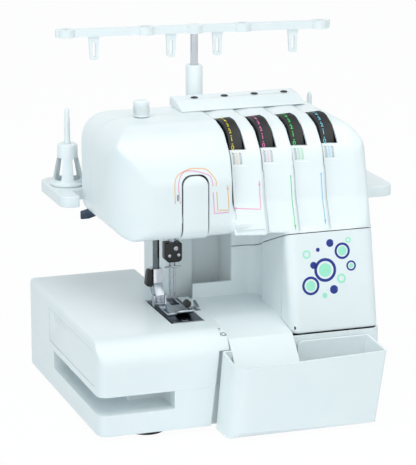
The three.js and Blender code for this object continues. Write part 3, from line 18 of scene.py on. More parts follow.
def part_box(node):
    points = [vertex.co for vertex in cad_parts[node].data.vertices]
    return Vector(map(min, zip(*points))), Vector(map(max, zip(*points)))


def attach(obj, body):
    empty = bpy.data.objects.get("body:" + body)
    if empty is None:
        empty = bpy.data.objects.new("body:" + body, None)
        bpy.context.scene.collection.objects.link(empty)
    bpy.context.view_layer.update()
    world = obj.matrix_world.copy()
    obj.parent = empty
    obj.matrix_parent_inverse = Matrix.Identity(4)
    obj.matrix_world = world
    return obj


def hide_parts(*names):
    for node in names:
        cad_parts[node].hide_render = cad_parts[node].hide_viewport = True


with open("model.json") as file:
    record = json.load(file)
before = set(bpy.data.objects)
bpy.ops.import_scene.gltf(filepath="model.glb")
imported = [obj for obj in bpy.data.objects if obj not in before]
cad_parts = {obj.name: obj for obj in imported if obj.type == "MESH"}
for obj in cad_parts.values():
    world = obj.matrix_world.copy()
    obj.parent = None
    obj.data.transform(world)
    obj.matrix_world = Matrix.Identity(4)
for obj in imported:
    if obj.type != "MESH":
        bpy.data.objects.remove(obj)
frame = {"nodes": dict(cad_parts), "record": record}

log = logging.getLogger("serger")
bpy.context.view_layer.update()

MM = 0.001
# How far tools run past a piece, the gap between two pieces and the wall of the shells
OVER = 3.0
GAP = 0.4
WALL = 2.6
ARC_STEP = math.radians(6.0)
SMOOTH_ANGLE = math.radians(32.0)
# Marks start in front of the machine, or over it, and lie a little clear of the face they print
PRINT_FROM = -90.0
PRINT_OVER = 130.0
INK_CLEAR = 0.1
INK_THICK = 0.12
# Grooves are cut by strips of this thickness, half of which is in the face
GROOVE_CUT = 3.2

Path = list[tuple[float, float]]
Corner = tuple[float, float, float]


class Axis(Enum):
    """An axis that a prism or a rod runs along."""

    X = 0
    Y = 1
    Z = 2

    def place(self, u: float, v: float, w: float) -> Vector:
        """Point from its two places across the axis and its place along it.

        Args:
            u: First place across, which is y on X and x on the others.
            v: Second place across, which is y on Z and z on the others.
            w: Place along the axis.

        Returns:
            The point as x, y, z.
        """
        if self is Axis.X:
            return Vector((w, u, v))
        if self is Axis.Y:
            return Vector((u, w, v))
        return Vector((u, v, w))


class Join(Enum):
    """How a tool solid works on a piece."""

    CUT = "DIFFERENCE"
    FUSE = "UNION"
    KEEP = "INTERSECT"


class Datum:
    """Turns millimetre places on the machine into the frame's metres, and back."""

    def __init__(self) -> None:
        """Reads where the frame holds the base casing, whose front left corner is the datum."""
        low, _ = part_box("base_casing")
        self.shift = Vector((low.x, low.y, 0.0))

    def point(self, x: float, y: float, z: float) -> Vector:
        """Frame point in metres of a place in millimetres."""
        return Vector((x, y, z)) * MM + self.shift

    def box(self, node: str) -> tuple[Vector, Vector]:
        """Lowest and highest corner of a node of the frame, in millimetres.

        Args:
            node: Name of the node.

        Returns:
            The two corners.
        """
        low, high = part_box(node)
        return (Vector(low) - self.shift) / MM, (Vector(high) - self.shift) / MM


DATUM = Datum()


# Finishes


def linear(code: str) -> tuple[float, float, float, float]:
    """Linear colour of an sRGB hex value.

    Args:
        code: Six hex digits.

    Returns:
        Red, green, blue and alpha, as Blender's sockets take them.
    """
    parts = [int(code[i:i + 2], 16) / 255.0 for i in (0, 2, 4)]
    red, green, blue = (c / 12.92 if c <= 0.04045 else ((c + 0.055) / 1.055) ** 2.4 for c in parts)
    return red, green, blue, 1.0


def add_node(tree: bpy.types.NodeTree, kind: str, settings: dict | None = None,
             values: dict | None = None, links: dict | None = None) -> bpy.types.Node:
    """Adds one node with its settings, socket values and links.

    Args:
        tree: Node tree that takes it.
        kind: Node type after the word ShaderNode.
        settings: Attributes of the node.
        values: Socket values by socket name or number.
        links: Output sockets that feed the node, by socket name or number.

    Returns:
        The new node.
    """
    node = tree.nodes.new("ShaderNode" + kind)
    for key, value in (settings or {}).items():
        setattr(node, key, value)
    for key, value in (values or {}).items():
        node.inputs[key].default_value = value
    for key, output in (links or {}).items():
        tree.links.new(output, node.inputs[key])
    return node


def per_metre(size_mm: float) -> float:
    """Pattern scale whose features have that size in millimetres."""
    return 1.0 / (size_mm * MM)


@dataclass(frozen=True)
class Finish:
    """Any surface of the machine: a colour that varies a little, over a fine relief.

    The slot is the record's material slot, and the sizes are in millimetres.
    """

    name: str
    slot: str
    colour: str
    shade: str
    roughness: float
    grain: float = 0.9
    relief: float = 0.02
    mottle: float = 40.0
    spread: float = 0.05
    metallic: float = 0.0
    ior: float = 1.5
    coat: float = 0.0
    stretch: tuple[float, float, float] = (1.0, 1.0, 1.0)

    def material(self) -> bpy.types.Material:
        """Builds the finish once, and gives the same material again after that.

        Returns:
            The material.
        """
        made = bpy.data.materials.get(self.name)
        if made is not None:
            return made
        made = bpy.data.materials.new(self.name)
        made.use_nodes = True
        tree = made.node_tree
        tree.nodes.clear()
        place = add_node(tree, "TexCoord")
        turned = add_node(tree, "Mapping", values={"Scale": self.stretch},
                          links={"Vector": place.outputs["Object"]})
        grain = add_node(tree, "TexNoise", values={"Scale": per_metre(self.grain), "Detail": 2.0},
                         links={"Vector": turned.outputs["Vector"]})
        mottle = add_node(tree, "TexNoise", values={"Scale": per_metre(self.mottle), "Detail": 3.0},
                          links={"Vector": place.outputs["Object"]})
        blend = add_node(tree, "MapRange", values={1: 0.35, 2: 0.65}, links={0: mottle.outputs[0]})
        colour = add_node(tree, "Mix", {"data_type": "RGBA"},
                          {"A": linear(self.colour), "B": linear(self.shade)},
                          {"Factor": blend.outputs[0]})
        rough = add_node(tree, "MapRange", values={1: 0.3, 2: 0.7, 3: self.roughness - self.spread,
                                                   4: self.roughness + self.spread},
                         links={0: grain.outputs[0]})
        bump = add_node(tree, "Bump", values={"Strength": 0.6, "Distance": self.relief * MM},
                        links={"Height": grain.outputs[0]})
        values = {"Metallic": self.metallic}
        if self.metallic < 0.5:
            values["IOR"] = self.ior
        if self.coat > 0.0:
            values["Coat Weight"] = self.coat
            values["Coat Roughness"] = self.roughness / 2.0
        shader = add_node(tree, "BsdfPrincipled", values=values, links={
            "Base Color": self.colour_socket(colour), "Roughness": rough.outputs[0],
            "Normal": bump.outputs[0]})
        add_node(tree, "OutputMaterial", links={"Surface": shader.outputs[0]})
        return made

    @staticmethod
    def colour_socket(mix: bpy.types.Node) -> bpy.types.NodeSocket:
        """Colour output of a Mix node."""
        return next(socket for socket in mix.outputs if socket.type == "RGBA")


# Moulded ABS: an even, cool white with a soft sheen and a spark texture too fine to see as grain
WHITE_ABS = Finish("moulded_white_abs", "white_abs", "eef5f7", "ebf3f5", 0.36, coat=0.15)
# The printed label ground is a purer white than the casing
LABEL_WHITE = Finish("label_white_film", "white_abs", "fbfdff", "f8fbfe", 0.45)
# Moulded ABS in pale grey, as on the free arm and the small controls
PALE_ABS = Finish("moulded_pale_abs", "pale_abs", "d9e4e8", "d4e0e5", 0.42)
# Glass filled nylon: near black, satin, with a fine mottled skin
BLACK_NYLON = Finish("moulded_black_nylon", "black_plastic", "0d1114", "090c0e", 0.42, grain=0.6)
# Rubber: matte black with a dusty bloom
FOOT_RUBBER = Finish("moulded_foot_rubber", "rubber", "1d1d20", "2a2a2d", 0.85, grain=1.2, relief=0.05)
BELT_RUBBER = Finish("ribbed_belt_rubber", "belting", "202124", "2b2c30", 0.8, grain=1.0, relief=0.08)
# Ground steel: bright, with grinding lines drawn coarser than the real ones so that they show
GROUND_STEEL = Finish("ground_steel", "steel", "b9bfc6", "a9b0b8", 0.24, grain=0.5, relief=0.01,
                      metallic=1.0, stretch=(1.0, 1.0, 0.08))
ROD_STEEL = replace(GROUND_STEEL, name="rod_steel", colour="6d777c", shade="596368", roughness=0.25)
# Dark nickel: blue-grey plating on the needle plate and the presser
DARK_NICKEL = Finish("dark_nickel_plate", "dark_steel", "4a5666", "394351", 0.3, grain=0.6,
                     relief=0.01, metallic=1.0, stretch=(0.1, 1.0, 1.0))
# Die-cast aluminium: grey with a blasted, pebbled skin
CAST_ALLOY = Finish("blasted_cast_aluminium", "cast", "9aa0a6", "868c93", 0.55, grain=1.4,
                    relief=0.08, metallic=1.0)
# Chrome plating on the antenna's rod: mirror smooth
CHROME = Finish("chromed_rod", "chrome", "c9d0d6", "bfc7ce", 0.1, relief=0.002, metallic=1.0)


def ink(name: str, colour: str) -> Finish:
    """Pad-printed ink: flat, even and a little glossier than the casing."""
    return Finish(f"printed_{name}_ink", "white_abs", colour, colour, 0.4, relief=0.004, spread=0.02)


AMBER_INK = ink("amber", "f2bd73")
PINK_INK = ink("pink", "eea0c4")
GREEN_INK = ink("green", "6ad488")
BLUE_INK = ink("blue", "7cc2ee")
GREY_INK = ink("grey", "5d7481")
NAVY_INK = ink("navy", "0b2a8a")
MINT_INK = ink("mint", "a4efcf")
SCALE_INKS = (ink("yellow_scale", "f4e13c"), ink("pink_scale", "f283c4"), ink("green_scale", "3cf070"),
              ink("blue_scale", "7ae2ff"))

FRAME_FINISHES: dict[str, Finish] = {
    finish.slot: finish for finish in (WHITE_ABS, PALE_ABS, BLACK_NYLON, FOOT_RUBBER, BELT_RUBBER,
                                       GROUND_STEEL, DARK_NICKEL, CAST_ALLOY, CHROME)}


# Tools of the bench


def take(piece: bpy.types.Object) -> None:
    """Makes one object the only selected and active one."""
    bpy.ops.object.select_all(action="DESELECT")
    piece.select_set(True)
    bpy.context.view_layer.objects.active = piece


def face_out() -> None:
    """Turns all faces of the mesh in edit mode outwards and leaves edit mode."""
    bpy.ops.mesh.select_all(action="SELECT")
    bpy.ops.mesh.normals_make_consistent(inside=False)
    bpy.ops.object.mode_set(mode="OBJECT")


def rounded(corners: Iterable[Corner], inset: float = 0.0, step: float = ARC_STEP) -> Path:
    """Outline through corners with their radii, every side moved in by the same inset.

    Args:
        corners: Corners as u, v and radius, counter-clockwise.
        inset: How far each side moves in.
        step: Turn of one facet of an arc.

    Returns:
        The outline's points.
    """
    listed = list(corners)
    count = len(listed)
    points = [Vector((u, v)) for u, v, _ in listed]
    along = [(points[(i + 1) % count] - points[i]).normalized() for i in range(count)]
    path: Path = []
    for i, point in enumerate(points):
        before = along[i - 1]
        after = along[i]
        turn = math.atan2(before.x * after.y - before.y * after.x, before.dot(after))
        radius = max(listed[i][2] - math.copysign(inset, turn), 0.0)
        left_before = Vector((-before.y, before.x))
        left_after = Vector((-after.y, after.x))
        corner = point + (left_before + left_after) * (inset / (1.0 + before.dot(after)))
        start = corner - before * (radius * math.tan(abs(turn) / 2.0))
        centre = start + left_before * math.copysign(radius, turn)
        steps = math.ceil(abs(turn) / step) if radius > 0.0 else 0
        for k in range(steps + 1):
            arm = start - centre
            arm.rotate(Matrix.Rotation(turn * k / steps if steps else 0.0, 2))
            path.append(tuple(centre + arm))
    return path


def rectangle(u0: float, u1: float, v0: float, v1: float, radius: float = 0.0) -> list[Corner]:
    """Corners of a rectangle whose four corners share one radius."""
    return [(u0, v0, radius), (u1, v0, radius), (u1, v1, radius), (u0, v1, radius)]


def prism(name: str, axis: Axis, path: Path, start: float, end: float) -> bpy.types.Object:
    """Solid drawn as a closed outline and extruded along an axis.

    Args:
        name: Name of the new object.
        axis: Axis of the extrusion.
        path: Points of the outline.
        start: Where the extrusion starts.
        end: Where it ends.

    Returns:
        The solid.
    """
    bpy.ops.object.select_all(action="DESELECT")
    bpy.ops.mesh.primitive_circle_add(vertices=len(path), fill_type="NGON")
    piece = bpy.context.object
    piece.name = name
    for vertex, (u, v) in zip(piece.data.vertices, path):
        vertex.co = axis.place(u, v, start)
    bpy.ops.object.mode_set(mode="EDIT")
    bpy.ops.mesh.select_all(action="SELECT")
    bpy.ops.mesh.extrude_region_move(
        TRANSFORM_OT_translate={"value": axis.place(0.0, 0.0, end - start)})
    face_out()
    return piece


def slab(name: str, low: Corner, high: Corner) -> bpy.types.Object:
    """Block between two corners.

    Args:
        name: Name of the new object.
        low: Lowest corner.
        high: Highest corner.

    Returns:
        The block.
    """
    centre = (Vector(low) + Vector(high)) / 2.0
    size = Vector(high) - Vector(low)
    bpy.ops.object.select_all(action="DESELECT")
    bpy.ops.mesh.primitive_cube_add(size=1.0, location=centre)
    piece = bpy.context.object
    piece.name = name
    piece.scale = size
    bpy.ops.object.transform_apply(location=True, rotation=True, scale=True)
    return piece


def rod(name: str, axis: Axis, at: tuple[float, float], start: float, end: float, radius: float,
        end_radius: float | None = None, sides: int = 64) -> bpy.types.Object:
    """Round bar or cone along an axis.

    Args:
        name: Name of the new object.
        axis: Axis of the bar.
        at: The axis line's two places across.
        start: Where the bar starts.
        end: Where it ends.
        radius: Radius at the start.
        end_radius: Radius at the end, or None for the same.
        sides: Number of facets round it.

    Returns:
        The bar.
    """
    quarter = math.pi / 2.0
    turns = {Axis.X: (0.0, quarter, 0.0), Axis.Y: (-quarter, 0.0, 0.0), Axis.Z: (0.0, 0.0, 0.0)}
    bpy.ops.object.select_all(action="DESELECT")
    bpy.ops.mesh.primitive_cone_add(
        vertices=sides, radius1=radius, radius2=radius if end_radius is None else end_radius,
        depth=end - start, location=axis.place(*at, (start + end) / 2.0), rotation=turns[axis])
    piece = bpy.context.object
    piece.name = name
    bpy.ops.object.transform_apply(location=True, rotation=True, scale=True)
    return piece


def turned(name: str, profile: Path, x: float = 0.0, y: float = 0.0, steps: int = 64,
           bored: bool = False) -> bpy.types.Object:
    """Piece turned about an upright axis, from a profile that starts and ends on the axis.

    Args:
        name: Name of the new object.
        profile: Points as radius and height.
        x: Place of the axis.
        y: Place of the axis.
        steps: Facets round it.
        bored: Whether the profile is a closed ring clear of the axis instead.

    Returns:
        The turned solid.
    """
    bpy.ops.object.select_all(action="DESELECT")
    bpy.ops.mesh.primitive_circle_add(vertices=len(profile), fill_type="NOTHING")
    piece = bpy.context.object
    piece.name = name
    for vertex, (radius, height) in zip(piece.data.vertices, profile):
        vertex.co = (x + radius, y, height)
    bpy.ops.object.mode_set(mode="EDIT")
    mesh = bmesh.from_edit_mesh(piece.data)
    mesh.edges.ensure_lookup_table()
    mesh.verts.ensure_lookup_table()
    ends = {mesh.verts[0], mesh.verts[-1]}
    closing = [edge for edge in mesh.edges if not bored and set(edge.verts) == ends]
    for edge in closing:
        mesh.edges.remove(edge)
    bmesh.update_edit_mesh(piece.data)
    bpy.ops.mesh.select_all(action="SELECT")
    bpy.ops.mesh.spin(steps=steps, angle=2.0 * math.pi, center=(x, y, 0.0), axis=(0.0, 0.0, 1.0))
    bpy.ops.mesh.select_all(action="SELECT")
    bpy.ops.mesh.remove_doubles(threshold=0.001)
    face_out()
    return piece


def modify(piece: bpy.types.Object, kind: str, **settings: object) -> bpy.types.Object:
    """Adds one modifier and applies it.

    Args:
        piece: Object that takes it.
        kind: Modifier type.
        settings: Attributes of the modifier.

    Returns:
        The same object.
    """
    take(piece)
    bpy.ops.object.modifier_add(type=kind)
    modifier = piece.modifiers[-1]
    for key, value in settings.items():
        setattr(modifier, key, value)
    bpy.ops.object.modifier_apply(modifier=modifier.name)
    return piece


def work(piece: bpy.types.Object, join: Join, *tools: bpy.types.Object) -> bpy.types.Object:
    """Cuts, fuses or keeps a piece with tool solids, which are used up.

    Args:
        piece: Object that is worked on.
        join: What each tool does.
        tools: The tool solids.

    Returns:
        The same object.
    """
    for tool in tools:
        modify(piece, "BOOLEAN", operation=join.value, solver="MANIFOLD", object=tool)
        bpy.data.objects.remove(tool, do_unlink=True)
    return piece


def soften(piece: bpy.types.Object, cell: float, rounds: int) -> bpy.types.Object:
    """Remeshes a solid evenly and smooths its creases, as a mould's fillets do.

    Args:
        piece: Object that is worked on.
        cell: Size of one mesh cell.
        rounds: Smoothing rounds.

    Returns:
        The same object.
    """
    modify(piece, "REMESH", mode="VOXEL", voxel_size=cell)
    return modify(piece, "SMOOTH", factor=0.5, iterations=rounds)


def chamfer(piece: bpy.types.Object, width: float, segments: int = 2, angle: float = 40.0) -> bpy.types.Object:
    """Rounds every edge that is sharper than an angle.

    Args:
        piece: Object that is worked on.
        width: Width of the rounding.
        segments: Facets across it.
        angle: Least turn of an edge, in degrees.

    Returns:
        The same object.
    """
    return modify(piece, "BEVEL", width=width, segments=segments, limit_method="ANGLE",
                  angle_limit=math.radians(angle), harden_normals=False)


def shift_points(piece: bpy.types.Object, shift: Callable[[Vector], Vector]) -> bpy.types.Object:
    """Moves every vertex of a piece.

    Args:
        piece: Object that is worked on.
        shift: Gives the move of a point at its place.

    Returns:
        The same object.
    """
    for vertex in piece.data.vertices:
        vertex.co += shift(vertex.co)
    return piece


def copy_of(piece: bpy.types.Object, name: str) -> bpy.types.Object:
    """Copies an object with a mesh of its own.

    Args:
        piece: Object that is copied.
        name: Name of the copy.

    Returns:
        The copy.
    """
    made = piece.copy()
    made.data = piece.data.copy()
    made.name = name
    bpy.context.collection.objects.link(made)
    return made


def outwards(piece: bpy.types.Object) -> bpy.types.Object:
    """Turns every face of a closed piece outwards.

    Args:
        piece: Object that is worked on.

    Returns:
        The same object.
    """
    take(piece)
    bpy.ops.object.mode_set(mode="EDIT")
    face_out()
    return piece


def merged(name: str, pieces: list[bpy.types.Object]) -> bpy.types.Object:
    """Joins separate pieces into one object.

    Args:
        name: Name of the joined object.
        pieces: The pieces, of which the first takes the others.

    Returns:
        The joined object.
    """
    take(pieces[0])
    for piece in pieces[1:]:
        piece.select_set(True)
    bpy.ops.object.join()
    made = bpy.context.object
    made.name = name
    return made


def laid(piece: bpy.types.Object, x: float, y: float, z: float) -> bpy.types.Object:
    """Lays a piece that was turned about the upright origin along +X, and returns it."""
    piece.data.transform(Matrix.Translation((x, y, z)) @ Matrix.Rotation(math.pi / 2.0, 4, "Y"))
    return piece


def knurled(piece: bpy.types.Object, low: float, pitch: float, rings: int, radius: float, steps: int,
            depth: float) -> bpy.types.Object:
    """Sinks every other point of a turned rim, as a diamond knurl.

    Args:
        piece: Piece turned about the upright origin.
        low: Height of the rim's first ring of points.
        pitch: Distance between rings.
        rings: Number of rings.
        radius: Radius of the rim.
        steps: Facets round it.
        depth: Depth of the knurl.

    Returns:
        The same object.
    """
    def shift(point: Vector) -> Vector:
        """How far a point of the rim sinks."""
        ring = round((point.z - low) / pitch)
        turn = round(math.atan2(point.y, point.x) * steps / (2.0 * math.pi))
        on_rim = 0 <= ring < rings and math.hypot(point.x, point.y) > radius - 0.01
        if not on_rim or (ring + turn) % 2:
            return Vector()
        return Vector((-point.x, -point.y, 0.0)) * (depth / radius)

    return shift_points(piece, shift)


def waved(piece: bpy.types.Object, radius: float, count: int, depth: float) -> bpy.types.Object:
    """Sinks a turned rim in even waves, as finger hollows or ribs.

    Args:
        piece: Piece turned about the upright origin.
        radius: Radius of the rim.
        count: Number of waves round it.
        depth: Depth of a wave.

    Returns:
        The same object.
    """
    def shift(point: Vector) -> Vector:
        """How far a point of the rim sinks."""
        if math.hypot(point.x, point.y) < radius - 0.05:
            return Vector()
        wave = 0.5 - 0.5 * math.cos(count * math.atan2(point.y, point.x))
        return Vector((-point.x, -point.y, 0.0)) * (depth * wave / radius)

    return shift_points(piece, shift)


def flowing(points: Path, steps: int = 6) -> Path:
    """Smooth path through points.

    Args:
        points: Points that it passes through.
        steps: Steps between two of them.

    Returns:
        The path's points.
    """
    ends = [points[0], *points, points[-1]]
    path: Path = []
    for before, start, end, after in zip(ends, ends[1:], ends[2:], ends[3:]):
        for k in range(steps):
            t = k / steps
            path.append(tuple(
                b + (c - a) * t / 2.0 + (2.0 * a - 5.0 * b + 4.0 * c - d) * t * t / 2.0
                + (3.0 * b - a - 3.0 * c + d) * t ** 3 / 2.0
                for a, b, c, d in zip(before, start, end, after)))
    path.append(points[-1])
    return path


def ribbon(path: Path, width: float, end_width: float | None = None) -> bpy.types.Object:
    """Flat strip along a path, in front of the machine and facing it.

    Args:
        path: Points of its middle line, as x and z.
        width: Width at its start.
        end_width: Width at its end, or None for the same.

    Returns:
        The strip, of one row of faces.
    """
    count = len(path)
    bpy.ops.object.select_all(action="DESELECT")
    bpy.ops.mesh.primitive_grid_add(x_subdivisions=count - 1, y_subdivisions=1)
    piece = bpy.context.object
    last = width if end_width is None else end_width
    for i, point in enumerate(path):
        along = Vector(path[min(i + 1, count - 1)]) - Vector(path[max(i - 1, 0)])
        half = (width + (last - width) * i / (count - 1)) / 2.0
        side = Vector((-along.y, along.x)).normalized() * half
        for row, edge in enumerate((Vector(point) - side, Vector(point) + side)):
            piece.data.vertices[row * count + i].co = (edge.x, PRINT_FROM, edge.y)
    return piece


def line(points: Path, width: float = 1.0, pitch: float = 2.5) -> bpy.types.Object:
    """Strip along straight runs, with points close enough to follow a curved face.

    Args:
        points: Ends and bends of the line, as x and z.
        width: Width of the line.
        pitch: Largest distance between points.

    Returns:
        The strip.
    """
    path: Path = [points[0]]
    for start, end in zip(points, points[1:]):
        steps = max(round(math.dist(start, end) / pitch), 1)
        path += [tuple(Vector(start).lerp(Vector(end), (k + 1) / steps)) for k in range(steps)]
    return ribbon(path, width)


def circle(x: float, z: float, radius: float, width: float) -> bpy.types.Object:
    """Printed ring, or a disc where the width is the whole radius."""
    turns = [math.tau * k / 36.0 for k in range(37)]
    middle = radius - width / 2.0
    return ribbon([(x + middle * math.cos(turn), z + middle * math.sin(turn)) for turn in turns], width)


def printed(name: str, finish: Finish, body: str, target: bpy.types.Object,
            marks: list[bpy.types.Object], down: bool = False) -> None:
    """Presses flat marks onto a surface and gives them the thickness of ink.

    Args:
        name: Name of the print.
        finish: Its ink.
        body: Body that it rides on.
        target: Piece that carries the print, not settled yet.
        marks: The flat marks.
        down: Whether they are pressed down instead of back.
    """
    mark = merged(name, marks)
    if down:
        shift_points(mark, lambda point: Vector((0.0, point.z - point.y, PRINT_OVER - point.z)))
    modify(mark, "SHRINKWRAP", target=target, wrap_method="PROJECT", wrap_mode="ABOVE_SURFACE",
           offset=INK_CLEAR, use_project_y=not down, use_project_z=down, use_positive_direction=not down,
           use_negative_direction=down)
    modify(mark, "SOLIDIFY", thickness=INK_THICK, offset=0.0)
    settle(outwards(mark), finish, body)


def engrave(target: bpy.types.Object, points: Path, width: float) -> None:
    """Cuts a shallow groove into the front face of a piece.

    Args:
        target: Piece that takes the groove, not settled yet.
        points: Ends of the groove, as x and z.
        width: Width of the groove.
    """
    strip = line(points, width)
    modify(strip, "SHRINKWRAP", target=target, wrap_method="PROJECT", wrap_mode="ON_SURFACE",
           use_project_y=True, use_positive_direction=True, use_negative_direction=False)
    work(target, Join.CUT, outwards(modify(strip, "SOLIDIFY", thickness=GROOVE_CUT, offset=0.0)))


def settle(piece: bpy.types.Object, finish: Finish, body: str, *nodes: str) -> bpy.types.Object:
    """Sets a finished piece down in the frame, dresses it and lets it ride.

    Args:
        piece: Object modelled in millimetres.
        finish: Its finish.
        body: Body that it rides on.
        nodes: Nodes of the frame that it stands for.

    Returns:
        The same object.
    """
    take(piece)
    piece.data.transform(Matrix.Translation(DATUM.shift) @ Matrix.Scale(MM, 4))
    bpy.ops.object.shade_smooth_by_angle(angle=SMOOTH_ANGLE)
    piece.data.materials.clear()
    piece.data.materials.append(finish.material())
    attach(piece, body)
    if nodes:
        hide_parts(*nodes)
    log.info("%s: %d faces", piece.name, len(piece.data.polygons))
    return piece


def polished(node: str, finish: Finish, body: str, width: float) -> bpy.types.Object:
    """Makes a piece of a node's own form with its edges rounded, which stands for the node.

    Args:
        node: Name of the node.
        finish: Finish of the piece.
        body: Body that it rides on.
        width: Width of the rounding.

    Returns:
        The piece.
    """
    data = frame["nodes"][node].data.copy()
    piece = bpy.data.objects.new(f"{node}_finished", data)
    bpy.context.collection.objects.link(piece)
    data.transform(Matrix.Scale(1.0 / MM, 4) @ Matrix.Translation(-DATUM.shift))
    take(piece)
    bpy.ops.object.mode_set(mode="EDIT")
    bpy.ops.mesh.select_all(action="SELECT")
    bpy.ops.mesh.remove_doubles(threshold=0.01)
    bpy.ops.mesh.dissolve_limited(angle_limit=math.radians(1.0))
    bpy.ops.mesh.normals_make_consistent(inside=False)
    bpy.ops.object.mode_set(mode="OBJECT")
    return settle(chamfer(piece, width), finish, body, node)


def dress_frame() -> None:
    """Gives every node of the frame the finish of its material slot."""
    slots = {part["node"]: part["material_slot"] for part in frame["record"]["subparts"]}
    for name, node in frame["nodes"].items():
        finish = FRAME_FINISHES[slots[name]]
        node.data.materials.clear()
        node.data.materials.append(finish.material())


# Studio


@dataclass
class Studio:
    """Floor, lamps, world and the camera at the photograph's place. Places in millimetres."""

    camera_at: tuple[float, float, float] = (-604.8, -2086.3, 772.2)
    yaw: float = 18.9
    pitch: float = 14.55
    focal_px: float = 2400.0
    frame_high_px: float = 465.0
    sensor: float = 36.0

    def build(self) -> None:
        """Sets up everything round the machine."""
        scene = bpy.context.scene
        scene.view_settings.view_transform = "Standard"
        self.camera()
        self.world()
        self.floor()
        self.lamp("key_softbox", (900.0, -1300.0, 1300.0), 1500.0, 7.5, (1.0, 0.99, 0.97))
        self.lamp("left_softbox", (-1500.0, -500.0, 700.0), 1300.0, 5.5, (0.93, 0.98, 1.0))
        self.lamp("top_softbox", (-150.0, -350.0, 1700.0), 1400.0, 13.5, (1.0, 0.995, 0.985))
        self.lamp("front_softbox", (-300.0, -1900.0, 500.0), 1500.0, 5.5, (1.0, 0.98, 0.96))

    def camera(self) -> None:
        """Camera with the photograph's place, heading and lens."""
        data = bpy.data.cameras.new("camera")
        data.sensor_width = self.sensor
        data.lens = self.sensor * self.focal_px / self.frame_high_px
        data.clip_end = 50.0
        camera = bpy.data.objects.new("camera", data)
        bpy.context.collection.objects.link(camera)
        camera.location = DATUM.point(*self.camera_at)
        camera.rotation_euler = (math.radians(90.0 - self.pitch), 0.0, math.radians(-self.yaw))
        bpy.context.scene.camera = camera

    def world(self) -> None:
        """Even cool light all round, white where the camera or a reflection sees it."""
        world = bpy.data.worlds.new("studio")
        bpy.context.scene.world = world
        world.use_nodes = True
        tree = world.node_tree
        tree.nodes.clear()
        seen = self.seen(tree)
        fill = add_node(tree, "Background", values={"Color": linear("cfdfe4"), "Strength": 0.5})
        white = add_node(tree, "Background", values={"Color": (1.0, 1.0, 1.0, 1.0), "Strength": 1.0})
        mix = add_node(tree, "MixShader", links={0: seen, 1: fill.outputs[0], 2: white.outputs[0]})
        add_node(tree, "OutputWorld", links={"Surface": mix.outputs[0]})

    @staticmethod
    def seen(tree: bpy.types.NodeTree) -> bpy.types.NodeSocket:
        """One where a camera, glossy or transmission ray looks.

        Args:
            tree: Node tree that takes the nodes.

        Returns:
            The socket that holds it.
        """
        path = add_node(tree, "LightPath")
        first = add_node(tree, "Math", {"operation": "MAXIMUM"},
                         links={0: path.outputs["Is Camera Ray"], 1: path.outputs["Is Glossy Ray"]})
        both = add_node(tree, "Math", {"operation": "MAXIMUM"},
                        links={0: first.outputs[0], 1: path.outputs["Is Transmission Ray"]})
        return both.outputs[0]

    def floor(self) -> None:
        """Pale floor that keeps a faint shadow of the machine."""
        bpy.ops.object.select_all(action="DESELECT")
        bpy.ops.mesh.primitive_plane_add(size=6.0, location=(0.0, 0.0, -0.0005))
        floor = bpy.context.object
        floor.name = "floor"
        material = bpy.data.materials.new("studio_floor")
        material.use_nodes = True
        tree = material.node_tree
        tree.nodes.clear()
        matte = add_node(tree, "BsdfDiffuse", values={"Color": linear("f4f8fa")})
        glow = add_node(tree, "Emission", values={"Color": (1.0, 1.0, 1.0, 1.0), "Strength": 1.0})
        share = add_node(tree, "Math", {"operation": "MULTIPLY"}, {1: 0.97}, {0: self.seen(tree)})
        mix = add_node(tree, "MixShader",
                       links={0: share.outputs[0], 1: matte.outputs[0], 2: glow.outputs[0]})
        add_node(tree, "OutputMaterial", links={"Surface": mix.outputs[0]})
        floor.data.materials.append(material)

    @staticmethod
    def lamp(name: str, at: tuple[float, float, float], size: float, watts: float,
             colour: tuple[float, float, float]) -> None:
        """Square softbox that faces the machine's middle.

        Args:
            name: Name of the lamp.
            at: Its place.
            size: Side of the square.
            watts: Its power.
            colour: Its colour.
        """
        data = bpy.data.lights.new(name, "AREA")
        data.size = size * MM
        data.energy = watts
        data.color = colour
        lamp = bpy.data.objects.new(name, data)
        bpy.context.collection.objects.link(lamp)
        lamp.location = DATUM.point(*at)
        aim = DATUM.point(160.0, 90.0, 150.0) - lamp.location
        lamp.rotation_euler = aim.to_track_quat("-Z", "Y").to_euler()


# Casing


@dataclass(frozen=True)
class Slant:
    """The right end of the bed and of the base under it, which leans in below a short tab."""

    right: float = 133.0
    foot: float = 20.6
    top: float = 11.7
    tab: float = 80.7
    floor: float = 5.5

    def wedge(self, back: float, grow: float = 0.0) -> bpy.types.Object:
        """Tool that cuts the slant, grown by a wall where the room inside is meant.

        Args:
            back: How deep the cut goes.
            grow: Thickness of the wall that it leaves.

        Returns:
            The tool.
        """
        rise = (self.foot - self.top) / (self.tab - self.floor)
        low = self.right - self.foot - grow - self.floor * rise
        high, far = self.tab + grow, self.right + self.foot
        corners = [(low, 0.0, 0.0), (far, 0.0, 0.0), (far, high, 0.0), (low + high * rise, high, 0.0)]
        return prism("slant", Axis.Y, rounded(corners), -OVER, back + grow)


